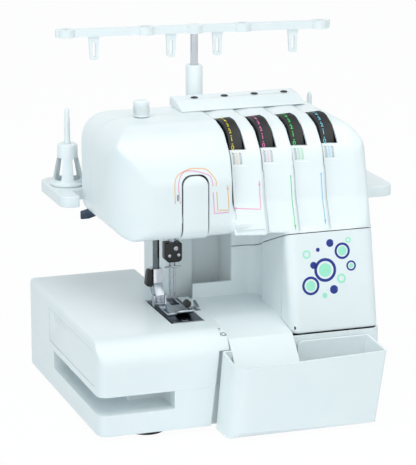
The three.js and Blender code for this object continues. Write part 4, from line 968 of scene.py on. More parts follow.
@dataclass
class BedExtension:
    """The slide-off bed round the free arm, with its accessory door."""

    front_round: float = 25.0
    edge: float = 4.0
    corner: float = 9.0
    back_corner: float = 4.0
    back_step: float = 115.0
    notch: tuple[float, float, float] = (88.0, 47.0, 134.0)
    arm: tuple[float, float] = (54.0, 128.0)
    floor: float = 2.2
    door_thick: float = 3.0
    seam: float = 45.3
    slant: Slant = Slant()
    pull: tuple[float, float, float] = (16.0, 8.0, 1.6)
    cell: float = 1.8

    def build(self) -> None:
        """Models the extension and its door."""
        self.low, self.high = DATUM.box("bed_extension")
        self.extension()
        self.door()

    def block(self, name: str, inset: float, low: float, high: float) -> bpy.types.Object:
        """The extension's outer form, or its room where the inset is a wall.

        Args:
            name: Name of the new object.
            inset: How far the sides move in.
            low: Lowest height.
            high: Highest height of the plan.

        Returns:
            The solid.
        """
        long, back, top = self.high.x, self.high.y, self.high.z
        step = self.back_step
        plan = [(0.0, 0.0, self.corner), (long, 0.0, 2.0), (long, self.notch[2], 1.0),
                (step, self.notch[2], 1.0), (step, back, self.back_corner), (0.0, back, self.back_corner)]
        side = [(0.0, low - OVER, 0.0), (back, low - OVER, 0.0), (back, top, self.edge),
                (0.0, top, self.front_round)]
        front = [(0.0, low - OVER, 0.0), (long, low - OVER, 0.0), (long, top, 0.0), (0.0, top, self.edge)]
        solid = prism(name, Axis.Z, rounded(plan, inset), low, high)
        return work(solid, Join.KEEP,
                    prism("side", Axis.X, rounded(side, inset), -OVER, long + OVER),
                    prism("front", Axis.Y, rounded(front, inset), -OVER, back + OVER))

    def extension(self) -> None:
        """Shell of the extension."""
        low, high = self.seam, self.high.z
        shell = soften(self.block("bed_shell", 0.0, low - 2.0 * OVER, high), self.cell, 3)
        left, front, back = self.notch
        far = self.high + Vector((OVER, OVER, OVER))
        door_low, door_high = DATUM.box("compartment_door")
        room = work(self.block("room", WALL, low + self.floor, high - WALL), Join.CUT,
                    self.slant.wedge(front, WALL))
        work(shell, Join.CUT,
             slab("below", (-OVER, -OVER, low - 4.0 * OVER), (far.x, far.y, low)),
             slab("notch", (left, front, low - OVER), (far.x, back, far.z)), room,
             slab("mouth", (left - WALL - OVER, self.arm[0] - 2.0 * WALL, low - OVER),
                  (far.x, self.arm[1] + 2.0 * WALL, high - WALL)),
             slab("doorway", (-OVER, door_low.y - GAP, door_low.z - GAP),
                  (self.door_thick + WALL, door_high.y + GAP, door_high.z + GAP)),
             self.slant.wedge(front))
        printed("bed_marks", GREY_INK, "extension", shell, [
            line([(125.6, 19.8), (128.8, 19.0)], 0.8), line([(126.0, 17.2), (127.8, 16.8)], 0.7),
            circle(129.2, 11.4, 2.1, 0.8), line([(126.2, 9.6), (126.4, 13.4)], 0.8),
            line([(131.8, 10.4), (132.2, 12.8)], 0.7)], down=True)
        settle(shell, WHITE_ABS, "extension", "bed_extension")

    def door(self) -> None:
        """Flush door in the left face, with a finger pull at its top edge."""
        low, high = DATUM.box("compartment_door")
        face = rounded(rectangle(low.y, high.y, low.z, high.z, 2.0))
        door = prism("door_panel", Axis.X, face, 0.1, self.door_thick)
        wide, tall, deep = self.pull
        y = high.y - 2.0 * wide
        pull = prism("pull", Axis.X, rounded(rectangle(y, y + wide, high.z - tall, high.z + OVER, 2.0)),
                     -OVER, deep)
        chamfer(work(door, Join.CUT, pull), 0.5)
        settle(door, WHITE_ABS, "door", "compartment_door")


@dataclass
class BaseCasing:
    """The casing under the bed and the tray, with the finger slot round its front left corner."""

    top: float = 45.2
    tall_top: float = 86.0
    back: float = 240.0
    bed_back: float = 256.0
    edge: float = 9.0
    back_edge: float = 14.0
    front: float = 6.0
    bed_length: float = 133.0
    tall_left: float = 134.0
    rear_left: float = 117.0
    column_left: float = 200.0
    notch_back: float = 134.0
    slot_bottom: float = 27.0
    slot_length: tuple[float, float] = (76.0, 163.0)
    slot_depth: float = 40.0
    slot_round: float = 6.0
    apron: float = 74.0
    arm_way: tuple[float, float] = (53.0, 129.0)
    end_wall_reach: tuple[float, float] = (14.7, 46.0)
    end_wall_gap: float = 1.2
    stem_holes: tuple[tuple[float, float, float], ...] = ((70.0, 60.0, 4.4), (112.0, 58.0, 3.9))
    switch_room: float = 1.2
    slant: Slant = Slant()
    cell: float = 1.9

    def build(self) -> None:
        """Models the casing."""
        low, high = DATUM.box("base_casing")
        floor, right = low.z, high.x
        low_plan = [(0.0, 0.0, self.edge), (self.bed_length, 0.0, 2.0), (self.bed_length, self.front, 0.0),
                    (right, self.front, self.edge), (right, self.bed_back, self.back_edge),
                    (0.0, self.bed_back, 4.0)]
        step = self.notch_back + GAP
        tall_plan = [(self.tall_left, self.front, 2.0), (right, self.front, self.edge),
                     (right, self.back, self.back_edge), (self.rear_left, self.back, 2.0),
                     (self.rear_left, step, 2.0), (self.tall_left, step, 2.0)]
        spare = 2.0 * OVER
        casing = work(prism("base_shell", Axis.Z, rounded(low_plan), floor, self.top + spare), Join.FUSE,
                      prism("tall", Axis.Z, rounded(tall_plan), floor, self.tall_top + spare))
        soften(casing, self.cell, 4)
        far = (right + OVER, self.bed_back + OVER)
        for start, end in (((-OVER, -OVER), (self.tall_left, step)),
                           ((-OVER, step - 1.0), (self.rear_left, far[1])),
                           ((self.rear_left - 1.0, self.back), far)):
            work(casing, Join.CUT, slab("above", (*start, self.top), (*end, self.tall_top)))
        work(casing, Join.CUT, slab("over", (-OVER, -OVER, self.tall_top), (*far, self.tall_top + 2.0 * spare)))
        lowest = floor + WALL
        room = work(prism("low_room", Axis.Z, rounded(low_plan, WALL), lowest, self.top + OVER), Join.CUT,
                    prism("walls", Axis.Z, self.slot_plan(WALL), 0.0, self.top + spare),
                    self.slant.wedge(self.front, WALL),
                    slab("plinth", (self.rear_left - WALL, self.back - WALL, self.top - WALL),
                         (*far, self.top + spare)))
        through = self.tall_left + WALL + OVER
        work(casing, Join.CUT, room,
             prism("tall_room", Axis.Z, rounded(tall_plan, WALL), lowest, self.tall_top + OVER),
             slab("arm_way", (self.tall_left - OVER, self.arm_way[0], self.top),
                  (through, self.arm_way[1], self.tall_top + OVER)),
             slab("passage", (self.bed_length - OVER, self.front + WALL, lowest),
                  (through, self.back - WALL, self.top - WALL)),
             prism("slot", Axis.Z, self.slot_plan(0.0), self.slot_bottom, self.top + OVER),
             self.slant.wedge(self.front),
             slab("apron_way", (self.tall_left - OVER, -OVER, self.apron),
                  (self.column_left, self.front + WALL + GAP, self.tall_top + OVER)), *self.side_holes(right))
        work(casing, Join.FUSE, self.end_wall())
        settle(casing, WHITE_ABS, "machine", "base_casing")

    def end_wall(self) -> bpy.types.Object:
        """Wall that closes the wedge between the bed's slanted end and the tall part.

        Returns:
            The wall.
        """
        reach, back = self.end_wall_reach
        left, high = self.bed_length - reach, self.slant.tab - self.end_wall_gap
        rise = (self.slant.foot - self.slant.top) / (self.slant.tab - self.slant.floor)
        corners = [(left, self.top - OVER, 0.0), (self.tall_left + 1.0, self.top - OVER, 0.0),
                   (self.tall_left + 1.0, high, 0.0), (left + (high - self.top) * rise, high, 0.0)]
        return prism("end_wall", Axis.Y, rounded(corners), self.front + 2.0, back)

    def side_holes(self, right: float) -> list[bpy.types.Object]:
        """Holes of the right side, for the controls and the power inlet.

        Args:
            right: Place of the right side.

        Returns:
            The tools that cut them.
        """
        made = [rod("stem_hole", Axis.X, (y, z), right - 2.0 * OVER, right + OVER, radius)
                for y, z, radius in self.stem_holes]
        for node, room in (("power_switch", self.switch_room), ("power_socket", GAP)):
            low, high = DATUM.box(node)
            made.append(slab("hole", (right - 2.0 * OVER, low.y - GAP, low.z - room),
                             (right + OVER, high.y + GAP, high.z + room)))
        return made

    def slot_plan(self, grow: float) -> Path:
        """Plan of the finger slot.

        Args:
            grow: Thickness of the wall that it grows by where its sides are meant.

        Returns:
            The plan's points.
        """
        side = self.slot_depth + grow
        front, length = (reach + grow for reach in self.slot_length)
        radius = self.slot_round + grow
        return rounded([(-OVER, -OVER, 0.0), (front, -OVER, 0.0), (front, side, radius),
                        (side, side, 2.0), (side, length, radius), (-OVER, length, 0.0)])


@dataclass
class Foot:
    """Rubber foot with a domed tread and a moulded ring."""

    name: str
    groove: float = 1.2

    def build(self) -> None:
        """Turns the foot at its node's place."""
        low, high = DATUM.box(self.name)
        radius = (high.x - low.x) / 2.0
        x, y = (low.x + high.x) / 2.0, (low.y + high.y) / 2.0
        tread = radius * 0.8
        inner = radius - self.groove
        profile = [(0.0, 0.5), (tread * 0.5, 0.4), (tread * 0.9, 0.0), (tread, 0.2), (radius * 0.93, 1.0),
                   (radius, 1.8), (radius, 2.8), (inner, 3.1), (inner, 3.7), (radius, 4.0), (radius, high.z),
                   (0.0, high.z)]
        settle(turned(f"{self.name}_tread", profile, x, y), FOOT_RUBBER, "machine", self.name)


@dataclass
class Housing:
    """Head and column of the casing, and the cover and guard that close the looper room."""

    left: float = 32.0
    bottom: float = 182.0
    top: float = 289.0
    back: float = 173.0
    face: float = 41.0
    face_top: float = 238.0
    cheek: float = 42.0
    chin: float = 14.0
    corners: tuple[float, float, float] = (24.0, 32.0, 38.0)
    right: float = 292.0
    split: float = 128.0
    first: float = 149.0
    pitch: float = 32.0
    count: int = 4
    step: float = 7.5
    drop: float = 3.5
    brow: tuple[tuple[float, float], ...] = ((27.0, 184.0), (38.0, 213.0), (47.0, 262.0), (66.0, 282.0))
    brow_round: float = 26.0
    flat: float = 90.0
    column_left: float = 200.0
    column_foot: float = 9.0
    flare: float = 0.198
    column_edge: float = 9.0
    rear: tuple[float, float] = (117.0, 150.0)
    recess: tuple[float, float, float] = (145.0, 177.0, 166.0)
    wall: tuple[float, float] = (216.0, 125.0)
    shoulder: float = 185.0
    base_top: float = 86.0
    base_back: float = 240.0
    seam: tuple[float, float] = (184.0, 149.5)
    sill: float = 264.2
    cover_gap: float = 0.9
    tongue_gap: float = 1.5
    cover_back: tuple[float, float] = (40.0, 34.0)
    throat: tuple[float, float, float] = (33.0, 16.5, 13.0)
    knob_bore: float = 3.6
    tongue_reach: float = 31.1
    tongue_round: float = 10.0
    window: tuple[float, float, float] = (1.4, 0.4, 1.2)
    slit: tuple[float, float] = (243.0, 84.0)
    ledge_rise: tuple[float, float] = (191.4, 196.4)
    ledge_reach: float = 7.0
    shaft_hole: tuple[float, float, float] = (167.0, 118.0, 6.0)
    lifter_hole: tuple[float, float, float] = (84.0, 193.0, 3.8)
    knuckle: tuple[float, float, float] = (12.0, 4.4, 2.4)
    guard_thick: float = 2.6
    shelf_top: float = 98.0
    shelf_left: float = 133.4
    shelf_bend: tuple[float, float] = (58.0, 60.0)
    shelf_knee: float = 9.0
    apron_foot: tuple[float, float, float] = (-16.0, 59.4, 62.0)
    lip: tuple[float, float] = (136.0, 113.0)
    edge: tuple[float, float, float, float] = (122.4, 133.8, 47.4, 133.6)
    knife_window: tuple[float, float, float, float] = (119.0, 130.8, 82.4, 98.6)
    cell: float = 1.5

    def build(self) -> None:
        """Models the four shells that share the housing's outer form."""
        outer = work(self.head(0.0), Join.FUSE, self.column(0.0))
        soften(outer, self.cell, 10)
        self.room = work(self.head(WALL), Join.FUSE, self.column(WALL))
        self.shell = work(outer, Join.CUT, copy_of(self.room, "room_copy"))
        self.front_housing()
        self.rear_housing()
        self.cover()
        self.guard()
        self.take_up_cover()
        for spare in (self.shell, self.room):
            bpy.data.objects.remove(spare, do_unlink=True)

    def side(self) -> list[Corner]:
        """Side outline of the head's left part.

        Returns:
            Its corners.
        """
        (_, _), (_, _), (high_y, high_z), (top_y, top_z) = self.brow
        return [(self.face, self.bottom, self.chin), (self.back, self.bottom, 6.0), (self.back, self.top, 8.0),
                (self.flat, self.top, self.brow_round), (top_y, top_z, self.brow_round),
                (high_y, high_z, self.brow_round), (self.face, self.face_top, self.brow_round)]

    def brow_side(self) -> list[Corner]:
        """Side outline of the head over the dials.

        Returns:
            Its corners.
        """
        (low_y, low_z), (mid_y, mid_z), (high_y, high_z), (top_y, top_z) = self.brow
        curve = self.brow_round
        return [(low_y, low_z, 0.0), (self.back, low_z, 6.0), (self.back, self.top, 8.0),
                (self.flat, self.top, curve), (top_y, top_z, curve), (high_y, high_z, curve),
                (mid_y, mid_z, curve)]

    def leaned(self, corners: list[Corner], inset: float, low: float, high: float, foot: float,
               slope: float, forward: float = 0.0) -> bpy.types.Object:
        """Upright prism that leans back as it rises.

        Args:
            corners: Corners of its plan.
            inset: How far its sides move in.
            low: Lowest height.
            high: Highest height.
            foot: Height where the lean starts.
            slope: Lean for each unit of height.
            forward: Place of the plan's front at the foot.

        Returns:
            The solid.
        """
        solid = prism("leaned", Axis.Z, rounded(corners, inset), low, high)
        return shift_points(solid, lambda point: Vector((0.0, forward + (point.z - foot) * slope, 0.0)))

    def channel(self, index: int, inset: float) -> bpy.types.Object:
        """One strip of the head over a dial: set back at its left edge and proud at its right.

        Args:
            index: Number of the strip, from the left.
            inset: How far its outline moves in.

        Returns:
            The strip.
        """
        start = self.first + index * self.pitch
        strip = prism("channel", Axis.X, rounded(self.brow_side(), inset), start, start + self.pitch)
        middle = start + self.pitch / 2.0
        mid_z = self.brow[1][1]

        def shift(point: Vector) -> Vector:
            """How far a point of the strip's left end is set back."""
            if point.x > middle or point.y > self.split - OVER:
                return Vector()
            return Vector((0.0, self.step, -self.drop if point.z > mid_z else 0.0))

        return shift_points(strip, shift)

    def head(self, inset: float) -> bpy.types.Object:
        """Head with its left cheek and the strips over the dials.

        Args:
            inset: How far its outline moves in.

        Returns:
            The solid.
        """
        (low_y, low_z), _, (high_y, high_z), _ = self.brow
        lap = self.first + 2.0 * OVER
        left = prism("head", Axis.X, rounded(self.side(), inset), self.left, self.first + inset)
        plan = [(self.left, self.face, self.cheek), (lap, self.face, 0.0), (lap, self.back, 0.0),
                (self.left, self.back, 12.0)]
        work(left, Join.KEEP,
             prism("plan", Axis.Z, rounded(plan, inset), self.bottom - OVER, self.top + OVER))
        last = self.first + self.count * self.pitch
        right = prism("end", Axis.X, rounded(self.brow_side(), inset), last, self.right)
        work(right, Join.FUSE, *(self.channel(index, inset) for index in range(self.count)))
        far = 2.0 * self.base_back
        slope = (high_y - low_y) / (high_z - low_z)
        work(right, Join.KEEP, self.leaned(
            [(0.0, low_y, 0.0), (self.right, low_y, 12.0), (self.right, far, 0.0), (0.0, far, 0.0)],
            inset, low_z - OVER, self.top + OVER, low_z, slope))
        bottom_round, left_round, right_round = self.corners
        front = [(self.left, self.bottom, bottom_round), (self.right, self.bottom, 0.0),
                 (self.right, self.top, right_round), (self.left, self.top, left_round)]
        work(left, Join.FUSE, right)
        return work(left, Join.KEEP, prism("front", Axis.Y, rounded(front, inset), -OVER, self.base_back))

    def column(self, inset: float) -> bpy.types.Object:
        """Column under the head, with the recess beside the needle.

        Args:
            inset: How far its outline moves in.

        Returns:
            The solid.
        """
        low = self.base_top + GAP - (OVER if inset > 0.0 else 0.0)
        high = self.shoulder - inset
        left, right, back = self.column_left, self.right, self.base_back
        rear_left, rear_front = self.rear
        recess_left, recess_right, recess_back = self.recess
        wall_x, wall_y = self.wall
        edge = self.column_edge
        plan = [(left, -back, 0.0), (right, -back, 0.0), (right, back, 14.0), (rear_left, back, 14.0),
                (rear_left, rear_front, 3.0), (recess_left, rear_front, 1.0), (recess_left, recess_back, 1.0),
                (recess_right, recess_back, 1.0), (recess_right, wall_y, 1.0), (wall_x, wall_y, 14.0),
                (left, wall_y - 3.0 * edge, 8.0)]
        far = wall_y + self.back
        wide = [(rear_left - left, 0.0, edge), (right, 0.0, edge), (right, far, 0.0),
                (rear_left - left, far, 0.0)]
        reach = 2.0 * back
        narrow = [(left, 0.0, edge), (right + OVER, 0.0, 0.0), (right + OVER, reach, 0.0), (-OVER, reach, 0.0),
                  (-OVER, 4.0 * edge, 0.0), (left, 4.0 * edge, 0.0)]
        column = prism("column", Axis.Z, rounded(plan, inset), low, high)
        return work(column, Join.KEEP, *(
            self.leaned(corners, inset, low, high, self.base_top, self.flare, self.column_foot)
            for corners in (wide, narrow)))

    def below_seam(self, gap: float, start: float, end: float) -> bpy.types.Object:
        """Everything in front of the seam and under it, which belongs to the cover and the guard.

        Args:
            gap: How far under the seam it stops.
            start: Its left end.
            end: Its right end.

        Returns:
            The tool.
        """
        front_top, back_top = self.seam[0] - gap, self.seam[1] - gap
        low_y = self.brow[0][0]
        wall_y = self.wall[1]
        corners = [(-self.base_back, 0.0, 0.0), (wall_y + 2.0 * WALL, 0.0, 0.0),
                   (wall_y + 2.0 * WALL, back_top, 0.0), (wall_y - WALL, back_top, 0.0),
                   (low_y, front_top, 0.0), (-self.base_back, front_top, 0.0)]
        return prism("seam", Axis.X, rounded(corners), start, end)

    def guard_end(self) -> float:
        """Where the guard ends on the right, behind the cover."""
        return self.wall[0] + WALL + 2.0 * OVER

    def front_housing(self) -> None:
        """Front shell of the head, with the openings for the dials, the thread and the take-up cover."""
        shell = copy_of(self.shell, "front_shell")
        far = self.right + OVER
        work(shell, Join.KEEP, slab("front", (0.0, -OVER, 0.0), (far, self.split, self.top + OVER)))
        right_zone = work(self.below_seam(0.0, 0.0, far), Join.KEEP,
                          slab("strip", (0.0, -OVER, 0.0), (far, self.cover_back[1], self.seam[0] + OVER)))
        work(shell, Join.CUT, self.below_seam(0.0, 0.0, self.guard_end()), right_zone, *self.openings())
        engrave(shell, [(self.first + 3.0, 187.9), (self.first + self.pitch - 2.6, 189.1)], 3.0)
        work(shell, Join.FUSE, self.ledge())
        self.thread_slits(shell)
        self.guide_marks(shell)
        settle(shell, WHITE_ABS, "machine", "front_housing")

    def openings(self) -> list[bpy.types.Object]:
        """Openings of the front shell: needle bar, pressure dial, take-up cover and tension dials.

        Returns:
            The tools that cut them.
        """
        bar_low, bar_high = DATUM.box("needle_bar")
        bar_x, bar_y = (bar_low.x + bar_high.x) / 2.0, (bar_low.y + bar_high.y) / 2.0
        knob_low, knob_high = DATUM.box("pressure_dial")
        cover_low, cover_high = DATUM.box("take_up_cover")
        tongue_left, tongue_right = cover_low.x - self.tongue_gap, cover_high.x + self.tongue_gap
        tongue_top, floor = cover_high.z + self.tongue_gap, self.bottom - 2.0 * OVER
        throat_left, throat_right, throat_front = self.throat
        window_left, window_right, window_round = self.window
        made = [
            slab("throat", (bar_x - throat_left, bar_y - throat_front, self.bottom - OVER),
                 (bar_x + throat_right, self.split + OVER, self.bottom + 2.0 * WALL)),
            rod("stem_hole", Axis.Z, ((knob_low.x + knob_high.x) / 2.0, (knob_low.y + knob_high.y) / 2.0),
                self.top - self.corners[1], self.top + OVER, self.knob_bore),
            prism("tongue_slot", Axis.Y, rounded([
                (tongue_left, floor, 0.0), (tongue_right, floor, 0.0),
                (tongue_right, tongue_top, self.tongue_round), (tongue_left, tongue_top, self.tongue_round)]),
                -OVER, self.face + WALL + OVER),
            slab("tongue_floor", (tongue_left, self.face, self.bottom - OVER),
                 (tongue_right, self.face + self.tongue_reach, self.bottom + self.chin))]
        for index in range(self.count):
            low, high = DATUM.box(f"tension_dial_{index + 1}")
            middle = (low + high) / 2.0
            start, end = low.x - window_left, high.x + window_right
            window = rod("dial_slot", Axis.X, (middle.y, middle.z), start, end,
                         (high.z - low.z) / 2.0 + window_round, sides=160)
            made.append(work(window, Join.FUSE,
                             slab("sill", (start, 0.0, self.sill), (end, middle.y, self.top + OVER))))
        return made

    def ledge(self) -> bpy.types.Object:
        """Lip under the first strip, beside the take-up cover.

        Returns:
            The lip.
        """
        front, back = self.face - self.ledge_reach, self.face + OVER
        low, high = self.ledge_rise
        corners = [(front, low, 1.0), (back, low, 0.0), (back, high, 0.0), (front, high, 1.0)]
        return prism("ledge", Axis.X, rounded(corners), self.first + 1.0, self.first + self.pitch - 1.5)

    def thread_slits(self, shell: bpy.types.Object) -> None:
        """Cuts the narrow thread slit beside each dial, its groove over the top and its line down the face.

        Args:
            shell: Front shell, not settled yet.
        """
        slit_low, slit_back = self.slit
        for index in range(self.count):
            x = self.first + index * self.pitch
            engrave(shell, [(x + 2.9, slit_low + 1.0), (x + 2.9, 185.5 if index else 199.0)], 1.4)
            work(shell, Join.CUT,
                 slab("slit", (x + 0.2, 0.0, slit_low), (x + 2.5, slit_back, self.top + OVER)),
                 slab("groove", (x - 1.4, slit_back - 2.0, self.top - 6.0),
                      (x - 0.4, self.split - 1.0, self.top + OVER)))

    def guide_marks(self, shell: bpy.types.Object) -> None:
        """Prints the threading lines, the dials' labels and the stitch marks on the face.

        Args:
            shell: Front shell, not settled yet.
        """
        amber = [ribbon(flowing([(90.5, 219.5), (91.1, 243.5), (103.7, 251.6), (113.6, 252.3), (123.5, 250.1),
                                 (131.3, 240.4), (131.8, 234.0)]), 0.8),
                 line([(132.4, 228.5), (133.5, 210.1), (145.2, 209.2), (143.7, 229.8)], 0.8),
                 ribbon([(143.7, 229.8), (143.6, 232.2), (143.5, 234.7)], 2.0, 0.2)]
        pink = [ribbon(flowing([(95.4, 219.6), (93.8, 233.7), (94.4, 241.1), (99.3, 249.3), (109.2, 250.2),
                                (124.6, 245.2), (128.2, 238.5), (128.5, 234.2)]), 0.8),
                line([(128.8, 228.3), (130.2, 207.1), (145.2, 207.0)], 0.8),
                line([(153.4, 209.6), (176.6, 208.4), (176.8, 231.0)], 0.8), circle(153.0, 209.8, 1.0, 1.0),
                ribbon([(176.8, 231.0), (176.8, 233.5), (176.8, 236.0)], 2.0, 0.2)]
        green = [line([(209.6, 236.5), (209.8, 191.5)], 0.8), circle(209.6, 237.5, 0.8, 0.8),
                 ribbon([(209.8, 191.5), (209.8, 189.0), (209.8, 186.6)], 2.0, 0.2)]
        blue = [line([(241.4, 236.5), (241.6, 194.0)], 0.8), circle(241.4, 237.5, 0.8, 0.8),
                ribbon([(241.6, 194.0), (241.6, 191.5), (241.6, 189.2)], 2.0, 0.2)]
        grey = [line([(93.0, 222.2), (93.0, 228.2)], 1.2)]
        labels = []
        for index, marks in enumerate((amber, pink, green, blue)):
            x = self.first + index * self.pitch
            labels.append(line([(x + 3.2, 256.6), (x + 18.0, 256.6)], 14.4))
            for column, owner in ((5.4, grey), (8.6, marks), (11.8, marks if index == 2 else grey)):
                owner.append(ribbon([(x + column + (1.1 if k % 2 else -1.1), 262.0 - 0.85 * k)
                                     for k in range(13)], 0.65))
        prints = (("dial_labels", LABEL_WHITE, labels), ("amber_thread_marks", AMBER_INK, amber),
                  ("pink_thread_marks", PINK_INK, pink), ("green_thread_marks", GREEN_INK, green),
                  ("blue_thread_marks", BLUE_INK, blue), ("grey_marks", GREY_INK, grey))
        for name, finish, marks in prints:
            printed(name, finish, "machine", shell, marks)

    def take_up_cover(self) -> None:
        """Cover of the take-up slot: a tongue that follows the face and wraps under the chin."""
        low, high = DATUM.box("take_up_cover")
        skin = prism("take_up_tongue", Axis.X, rounded(self.side(), -1.0), low.x, high.x)
        plan = [(low.x, low.z - OVER, 0.0), (high.x, low.z - OVER, 0.0), (high.x, high.z, self.tongue_round),
                (low.x, high.z, self.tongue_round)]
        work(skin, Join.CUT, prism("under", Axis.X, rounded(self.side(), 2.4), low.x - OVER, high.x + OVER))
        work(skin, Join.KEEP, prism("outline", Axis.Y, rounded(plan), -OVER, self.back),
             slab("reach", (low.x, -OVER, 0.0), (high.x, high.y, self.top)))
        settle(chamfer(skin, 0.7, 3), WHITE_ABS, "machine", "take_up_cover")

    def rear_housing(self) -> None:
        """Rear shell of the head and the column."""
        shell = copy_of(self.shell, "rear_shell")
        work(shell, Join.KEEP, slab("rear", (0.0, self.split + GAP, 0.0),
                                    (self.right + OVER, self.base_back + OVER, self.top + OVER)))
        *shaft, shaft_bore = self.shaft_hole
        *lifter, lifter_bore = self.lifter_hole
        work(shell, Join.CUT,
             rod("shaft_hole", Axis.X, shaft, self.right - WALL - OVER, self.right + OVER, shaft_bore),
             rod("lifter_hole", Axis.Y, lifter, self.back - 2.0 * OVER, self.back + OVER, lifter_bore))
        settle(shell, WHITE_ABS, "machine", "rear_housing")

    def cover(self) -> None:
        """Hinged looper cover: the column's leaning front panel with its returns."""
        low, _ = DATUM.box("looper_cover")
        side_back, right_back = self.cover_back
        far = self.right + OVER
        foot = low.z - 0.6
        strip_back = right_back - 2.0 * self.cover_gap
        band = work(slab("band", (0.0, -OVER, foot), (self.guard_end() - GAP, side_back, self.seam[0])),
                    Join.FUSE, slab("strip", (0.0, -OVER, foot), (far, strip_back, self.seam[0])))
        panel = copy_of(self.shell, "cover_panel")
        work(panel, Join.KEEP, self.below_seam(self.cover_gap, 0.0, far), band)
        rod_low, rod_high = DATUM.box("cover_hinge_rod")
        y, z = (rod_low.y + rod_high.y) / 2.0, (rod_low.z + rod_high.z) / 2.0
        long, radius, bore = self.knuckle
        for x in (rod_low.x + long, rod_high.x - 2.0 * long):
            knuckle = work(rod("knuckle", Axis.X, (y, z), x, x + long, radius), Join.FUSE,
                           slab("web", (x, y - radius, z - GAP), (x + long, y, z + radius)))
            work(panel, Join.FUSE, work(knuckle, Join.KEEP, self.column(WALL / 2.0)))
        work(panel, Join.CUT, rod("bore", Axis.X, (y, z), rod_low.x - OVER, rod_high.x + OVER, bore))
        self.bubbles(panel)
        settle(panel, WHITE_ABS, "cover", "looper_cover")

    @staticmethod
    def bubbles(panel: bpy.types.Object) -> None:
        """Prints a plain decoration of bubbles that rise across the cover.

        Args:
            panel: Cover, not settled yet.
        """
        navy = [circle(222.0, 132.0, 9.0, 2.4), circle(238.0, 146.0, 11.5, 2.8), circle(257.0, 163.0, 8.0, 2.2),
                circle(246.0, 126.5, 4.2, 4.2), circle(226.0, 151.5, 3.4, 3.4), circle(265.5, 148.0, 5.0, 1.6),
                circle(244.5, 171.5, 3.8, 3.8), circle(231.5, 166.0, 2.0, 2.0)]
        mint = [circle(222.0, 132.0, 5.0, 5.0), circle(238.0, 146.0, 6.6, 6.6), circle(257.0, 163.0, 4.4, 4.4),
                circle(254.5, 136.5, 4.6, 1.8), circle(219.5, 162.5, 4.2, 1.6), circle(265.5, 148.0, 2.2, 2.2),
                circle(236.0, 121.5, 2.6, 2.6), circle(264.0, 173.0, 2.8, 1.2)]
        printed("navy_bubbles", NAVY_INK, "cover", panel, navy)
        printed("mint_bubbles", MINT_INK, "cover", panel, mint)

    def guard(self) -> None:
        """Looper guard: the shelf beside the needle plate and the wall behind it."""
        end = self.guard_end()
        side_back = self.cover_back[0] + 2.0 * GAP
        wall_x, wall_y = self.wall
        recess_right = self.recess[1]
        shelf_z, thick = self.shelf_top, self.guard_thick
        foot_y, foot_low, foot_high = self.apron_foot
        bend_y, bend = self.shelf_bend
        knee_y, knee = self.shelf_knee, shelf_z - self.shelf_knee
        lip_left, lip_high = self.lip
        edge_left, edge_right, edge_front, edge_back = self.edge
        window_left, window_right, window_front, window_back = self.knife_window
        side = copy_of(self.shell, "guard_shell")
        work(side, Join.KEEP, self.below_seam(self.cover_gap, 0.0, end - GAP),
             slab("side", (recess_right + GAP, side_back, self.base_top + GAP),
                  (end, wall_y + WALL, self.seam[0])))
        profile = [(foot_y, foot_low, 0.0), (knee_y, knee - thick, 0.0), (bend_y, shelf_z - thick, bend),
                   (wall_y + thick, shelf_z - thick, 0.0), (wall_y + thick, shelf_z, 0.0),
                   (bend_y, shelf_z, bend), (knee_y, knee, thick), (foot_y, foot_high, 0.0)]
        shelf = prism("shelf", Axis.X, rounded(profile), self.shelf_left, end - OVER)
        inner = work(self.column(WALL), Join.KEEP,
                     slab("fore", (0.0, -OVER, 0.0), (self.right, wall_y, self.top)))
        work(shelf, Join.CUT, inner, slab("cover_room", (self.column_left - GAP, 2.0 * foot_y, 0.0),
                                          (self.right, side_back, self.top)))
        lip_face = rectangle(lip_left, recess_right + 2.0 * thick, shelf_z - thick, lip_high, 1.0)
        work(side, Join.FUSE, shelf, prism("lip", Axis.Y, rounded(lip_face), wall_y, wall_y + thick),
             slab("edge", (edge_left, edge_front, shelf_z - thick), (edge_right, edge_back, shelf_z)))
        work(side, Join.CUT, slab("knife_window", (window_left, window_front, shelf_z - 2.0 * thick),
                                  (window_right, window_back, shelf_z + OVER)))
        settle(side, WHITE_ABS, "machine", "looper_guard")


